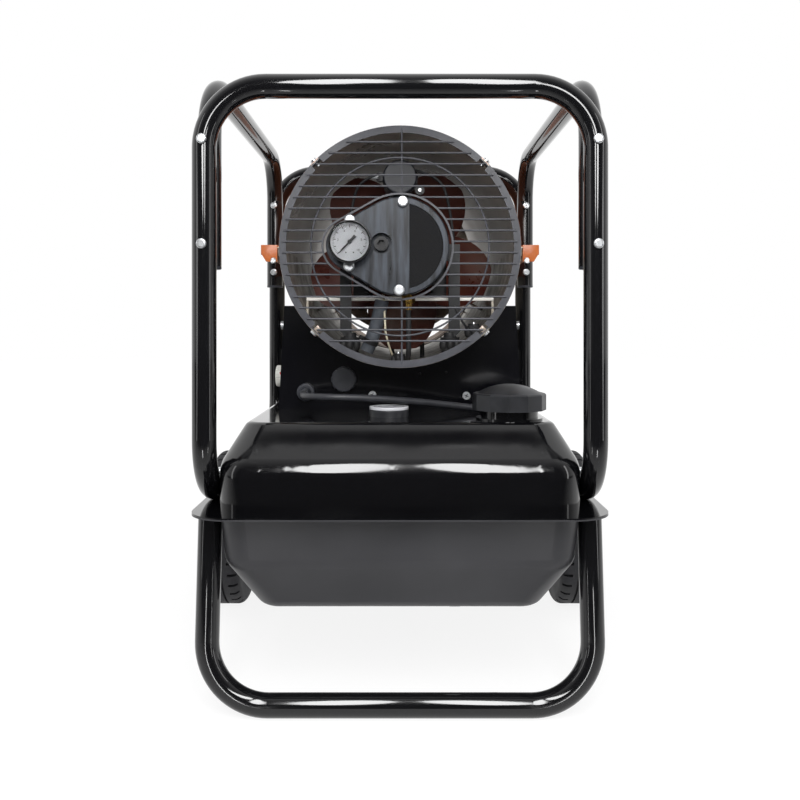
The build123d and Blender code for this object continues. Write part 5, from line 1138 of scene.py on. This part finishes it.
# ---- barrel's trim ----
@dataclass
class BarrelTrim:
    """Folded ends of the barrel's flanges, and the tabs that show in the guard's lower gaps."""

    sheet: float = 0.0012
    inner_x: float = 0.1385
    outer_x: float = 0.1570
    end_y: float = -0.2832
    end_z: float = 0.4885
    end_high: float = 0.0190
    end_edge: float = 0.0005
    slant: float = -0.62            # rise of the cut's normal for each metre out
    slant_inset: float = 0.0045     # a point of the cut, in from the outer end
    slant_z: float = 0.4815
    tongue_depth: float = 0.0100    # the strip that runs forward beside the barrel
    tongue_high: float = 0.0150
    tongue_shift: tuple[float, float] = (0.0010, 0.0045)    # out from the inner end, and forward
    tongue_z: float = 0.4870
    tongue_edge: float = 0.0004
    screw_radii: tuple[float, float] = (0.0036, 0.0027)
    screw_high: float = 0.0020
    screw_inset: float = 0.0045     # out from the inner end
    screw_z: float = 0.4805
    tab: tuple[float, float, float] = (0.0070, 0.0016, 0.0062)
    tab_y: float = -0.2842
    tab_reach: float = 0.1318       # from the barrel's middle line
    tab_edge: float = 0.0006
    tab_angles: tuple[tuple[float, str], ...] = ((225.0, "left"), (315.0, "right"))

    def build(self) -> None:
        """Make the folded ends, their screws and the tabs."""
        for side, word in SIDE_NAMES:
            self.build_end(side, word)
        for angle, word in self.tab_angles:
            self.build_tab(math.radians(angle), word)

    def build_end(self, side: int, word: str) -> None:
        """Make one folded end: a plate with a slanted foot, closed by a screw.

        Args:
            side: -1 left, 1 right.
            word: the side's name.
        """
        bm = bmesh.new()
        middle = ((self.inner_x + self.outer_x) / 2 * side, self.end_y, self.end_z)
        size = (self.outer_x - self.inner_x, self.sheet, self.end_high)
        add_bar(bm, size, Matrix.Translation(middle), self.end_edge)
        cut = bmesh.ops.bisect_plane(
            bm, geom=list(bm.verts) + list(bm.edges) + list(bm.faces), clear_outer=True,
            plane_co=(side * (self.outer_x - self.slant_inset), 0, self.slant_z),
            plane_no=Vector((side, 0, self.slant)).normalized(),
        )["geom_cut"]
        bmesh.ops.contextual_create(bm, geom=[g for g in cut if isinstance(g, bmesh.types.BMEdge)])
        out, forward = self.tongue_shift
        tongue_at = Matrix.Translation((side * (self.inner_x + out), self.end_y + forward, self.tongue_z))
        add_bar(bm, (self.sheet, self.tongue_depth, self.tongue_high), tongue_at, self.tongue_edge)
        place(object_from(bm, f"flange_end_{word}"), BARREL_COAT)
        bm = bmesh.new()
        head = facing((side * (self.inner_x + self.screw_inset), self.end_y - self.sheet / 2, self.screw_z))
        add_rod(bm, self.screw_radii, self.screw_high, head, 24)
        place(object_from(bm, f"flange_screw_{word}"), ZINC_PLATE)

    def build_tab(self, angle: float, word: str) -> None:
        """Make one tab of the barrel's edge.

        Args:
            angle: where it stands round the barrel.
            word: the side's name.
        """
        bm = bmesh.new()
        at = Matrix.Translation((0, self.tab_y, AXIS_Z)) @ Matrix.Rotation(-angle, 4, "Y")
        add_bar(bm, self.tab, at @ Matrix.Translation((self.tab_reach, 0, 0)), self.tab_edge)
        place(object_from(bm, f"guard_gap_tab_{word}"), BARREL_COAT)


# ---- small heads ----
@dataclass
class ScrewFaces:
    """Hexagons on the pump's bolts; on the box's rear wall, dark cross slots as painted shade in the screws'
    recesses, and two small dark discs.
    """

    pump_bolts: tuple[tuple[float, float], ...] = (
        (0.0030, 0.5455), (-0.0010, 0.4465), (-0.0560, 0.5245), (-0.0570, 0.4735),
    )
    pump_y: float = -0.2978
    hexagon_radii: tuple[float, float] = (0.0050, 0.0046)
    hexagon_high: float = 0.0016
    box_screws: tuple[tuple[float, float], ...] = ((-0.034, 0.321), (0.082, 0.320))
    slot_y: float = -0.1915
    slot: tuple[float, float, float] = (0.0052, 0.0003, 0.0009)
    slot_turn: float = 0.4
    rivets: tuple[tuple[float, float], ...] = ((0.0245, 0.3470), (0.0570, 0.3490))
    rivet_y: float = -0.1880
    rivet_radii: tuple[float, float] = (0.0017, 0.0014)
    rivet_high: float = 0.0006

    def build(self) -> None:
        """Make the hexagons, the dark slots and the dark discs."""
        bm = bmesh.new()
        for x, z in self.pump_bolts:
            add_rod(bm, self.hexagon_radii, self.hexagon_high, facing((x, self.pump_y, z)), 6)
        place(object_from(bm, "pump_bolt_hexagons"), ZINC_PLATE)
        # Dark bars standing on the screw heads: painted shade in their cross recesses.
        bm = bmesh.new()
        for x, z in self.box_screws:
            for turn in (self.slot_turn, self.slot_turn + math.pi / 2):
                at = Matrix.Translation((x, self.slot_y, z)) @ Matrix.Rotation(turn, 4, "Y")
                add_bar(bm, self.slot, at)
        for x, z in self.rivets:
            add_rod(bm, self.rivet_radii, self.rivet_high, facing((x, self.rivet_y, z)), 16)
        place(object_from(bm, "box_slot_shade_and_dots"), MOTOR_PAINT)


# ---- studio ----
@dataclass(frozen=True)
class Lamp:
    """A soft lamp: where it hangs, what it lights, its width and height, and its watts."""

    name: str
    at: tuple[float, float, float]
    aim: tuple[float, float, float]
    size: tuple[float, float]
    power: float
    shape: str = "RECTANGLE"
    mirrored: bool = True           # whether glossy surfaces show it
    lights: bool = True             # whether it lights matt surfaces

    def build(self) -> None:
        """Make the lamp."""
        data = bpy.data.lights.new(self.name, "AREA")
        data.shape, data.energy = self.shape, self.power
        data.size, data.size_y = self.size
        lamp = link_new(self.name, data)
        lamp.location = self.at
        lamp.rotation_euler = (Vector(self.aim) - Vector(self.at)).to_track_quat("-Z", "Y").to_euler()
        lamp.visible_camera = False
        lamp.visible_glossy = self.mirrored
        lamp.visible_diffuse = self.lights


@dataclass
class Studio:
    """Camera, lamps, floor and the white room round them."""

    pixels: float = 800.0
    focal_pixels: float = 890.0
    horizon_pixel: float = 322.0
    distance: float = 0.925         # from the lens to the rear hoop
    height: float = 0.411
    sensor_mm: float = 36.0
    # Two tall boxes of light over the camera, with a gap between them, lie as two lens shapes in the tank's
    # shoulder; faint ones at the sides run down the tubes; the wide one overhead lights the rest. Low slits
    # straight ahead of the foot's legs draw the thin white line down each of them.
    lamps: tuple[Lamp, ...] = (
        Lamp("box_left", (-0.155, -1.52, 1.18), (0, -0.37, 0.30), (0.27, 1.25), 13.0, "ELLIPSE"),
        Lamp("box_right", (0.210, -1.52, 1.18), (0, -0.37, 0.30), (0.27, 1.25), 13.0, "ELLIPSE"),
        Lamp("strip_left", (-1.5, -1.1, 0.7), (0, 0, 0.35), (0.16, 1.5), 1.8),
        Lamp("strip_right", (1.5, -1.1, 0.7), (0, 0, 0.35), (0.16, 1.5), 2.6),
        Lamp("box_above", (0, -0.4, 2.4), (0, 0, 0.35), (1.8, 0.9), 17.0, mirrored=False),
        Lamp("slit_left", (-0.205, -0.75, 0.06), (-0.205, 0, 0.06), (0.012, 0.12), 0.07, lights=False),
        Lamp("slit_right", (0.205, -0.75, 0.06), (0.205, 0, 0.06), (0.012, 0.12), 0.07, lights=False),
    )
    floor_radius: float = 9.0
    paper_reach: tuple[float, float] = (0.7, 2.2)       # metres over which the floor turns to pure white
    paper_tone: tuple[float, float] = (0.87, 1.0)
    shadow_color: str = "#6E6E6E"
    floor_color: str = "#E4E4E4"
    mirror_depth: tuple[float, float] = (-1.3, -0.3)    # Y over which the mirrored floor lights up
    mirror_tone: tuple[float, float] = (0.05, 0.85)
    room_depth: tuple[float, float] = (-0.75, 0.1)      # the same for the mirrored room
    room_tone: tuple[float, float] = (0.06, 1.0)
    room_light: float = 0.5

    def build(self) -> None:
        """Make all of it."""
        self.build_camera()
        self.build_floor()
        self.build_world()
        for lamp in self.lamps:
            lamp.build()

    def build_camera(self) -> None:
        """Make the camera at the photograph's place."""
        data = bpy.data.cameras.new("camera")
        data.sensor_width = self.sensor_mm
        data.lens = self.sensor_mm * self.focal_pixels / self.pixels
        data.shift_y = (self.horizon_pixel - self.pixels / 2) / self.pixels
        camera = link_new("camera", data)
        camera.location = (0, REAR_HOOP_Y - self.distance, self.height)
        camera.rotation_euler = (math.pi / 2, 0, 0)
        bpy.context.scene.camera = camera

    def build_floor(self) -> None:
        """Make the plain pale floor."""
        bm = bmesh.new()
        bmesh.ops.create_circle(bm, cap_ends=True, segments=96, radius=self.floor_radius)
        floor = object_from(bm, "floor")
        material = bpy.data.materials.new("matt_white_floor")
        material.use_nodes = True
        tree = material.node_tree
        tree.nodes.clear()
        coords = add_node(tree, "ShaderNodeTexCoord").outputs["Object"]
        away = add_node(tree, "ShaderNodeVectorMath", {0: coords}, operation="LENGTH").outputs["Value"]
        depth = add_node(tree, "ShaderNodeSeparateXYZ", {0: coords}).outputs["Y"]
        rays = add_node(tree, "ShaderNodeLightPath")
        # To the eye the floor is white paper that keeps a soft shadow near the heater.
        paper = ramp(tree, away, self.paper_reach, self.paper_tone)
        white = add_node(tree, "ShaderNodeEmission", {"Strength": paper}).outputs[0]
        shadowed = add_node(tree, "ShaderNodeBsdfDiffuse", {"Color": linear(self.shadow_color)}).outputs[0]
        seen = add_node(tree, "ShaderNodeAddShader", {0: white, 1: shadowed}).outputs[0]
        # In reflections it fades to a dark room on the camera's side.
        glow = ramp(tree, depth, self.mirror_depth, self.mirror_tone)
        mirrored = add_node(tree, "ShaderNodeEmission", {"Strength": glow}).outputs[0]
        plain = add_node(tree, "ShaderNodeBsdfDiffuse", {"Color": linear(self.floor_color)}).outputs[0]
        unseen = add_node(
            tree, "ShaderNodeMixShader", {0: rays.outputs["Is Glossy Ray"], 1: plain, 2: mirrored}
        ).outputs[0]
        both = add_node(
            tree, "ShaderNodeMixShader", {0: rays.outputs["Is Camera Ray"], 1: unseen, 2: seen}
        ).outputs[0]
        add_node(tree, "ShaderNodeOutputMaterial", {"Surface": both})
        floor.data.materials.append(material)

    def build_world(self) -> None:
        """Make the room: white to the eye, mirrored with a dark side behind the camera, and plain light."""
        world = bpy.data.worlds.new("studio")
        world.use_nodes = True
        tree = world.node_tree
        tree.nodes.clear()
        way = add_node(tree, "ShaderNodeTexCoord").outputs["Generated"]
        depth = add_node(tree, "ShaderNodeSeparateXYZ", {0: way}).outputs["Y"]
        room = ramp(tree, depth, self.room_depth, self.room_tone)
        rays = add_node(tree, "ShaderNodeLightPath")
        mirrored = add_node(
            tree, "ShaderNodeMath",
            {0: rays.outputs["Is Glossy Ray"], 1: rays.outputs["Is Transmission Ray"]}, operation="MAXIMUM",
        ).outputs[0]
        lit = add_node(tree, "ShaderNodeMix", {0: mirrored, 2: self.room_light, 3: room}).outputs[0]
        level = add_node(
            tree, "ShaderNodeMix", {0: rays.outputs["Is Camera Ray"], 2: lit, 3: 1.0}
        ).outputs[0]
        back = add_node(tree, "ShaderNodeBackground", {"Color": (1, 1, 1, 1), "Strength": level})
        add_node(tree, "ShaderNodeOutputWorld", {"Surface": back.outputs[0]})
        bpy.context.scene.world = world
        bpy.context.scene.view_settings.view_transform = "Standard"


def dress_nodes(nodes: dict[str, bpy.types.Object]) -> None:
    """Give every carried-over solid its finish.

    Args:
        nodes: the frame's objects by name.
    """
    for finish, names in NODE_FINISHES.items():
        for name in names:
            data = nodes[name].data
            data.materials.clear()
            data.materials.append(finish.build())
    left = sorted(set(nodes) - {n for names in NODE_FINISHES.values() for n in names})
    LOG.info("solids without a finish: %s", left or "none")


def main() -> None:
    """Build the scene round the frame."""
    logging.basicConfig(level=logging.INFO, format="%(name)s: %(message)s", stream=sys.stdout)
    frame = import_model()
    Studio().build()
    dress_nodes(frame["nodes"])
    MainsLead().build()
    for piece in (AirGauge(), TankGauge(), MotorSurroundings(), BarrelTrim(), ScrewFaces()):
        piece.build()


if __name__ == "__main__":
    main()
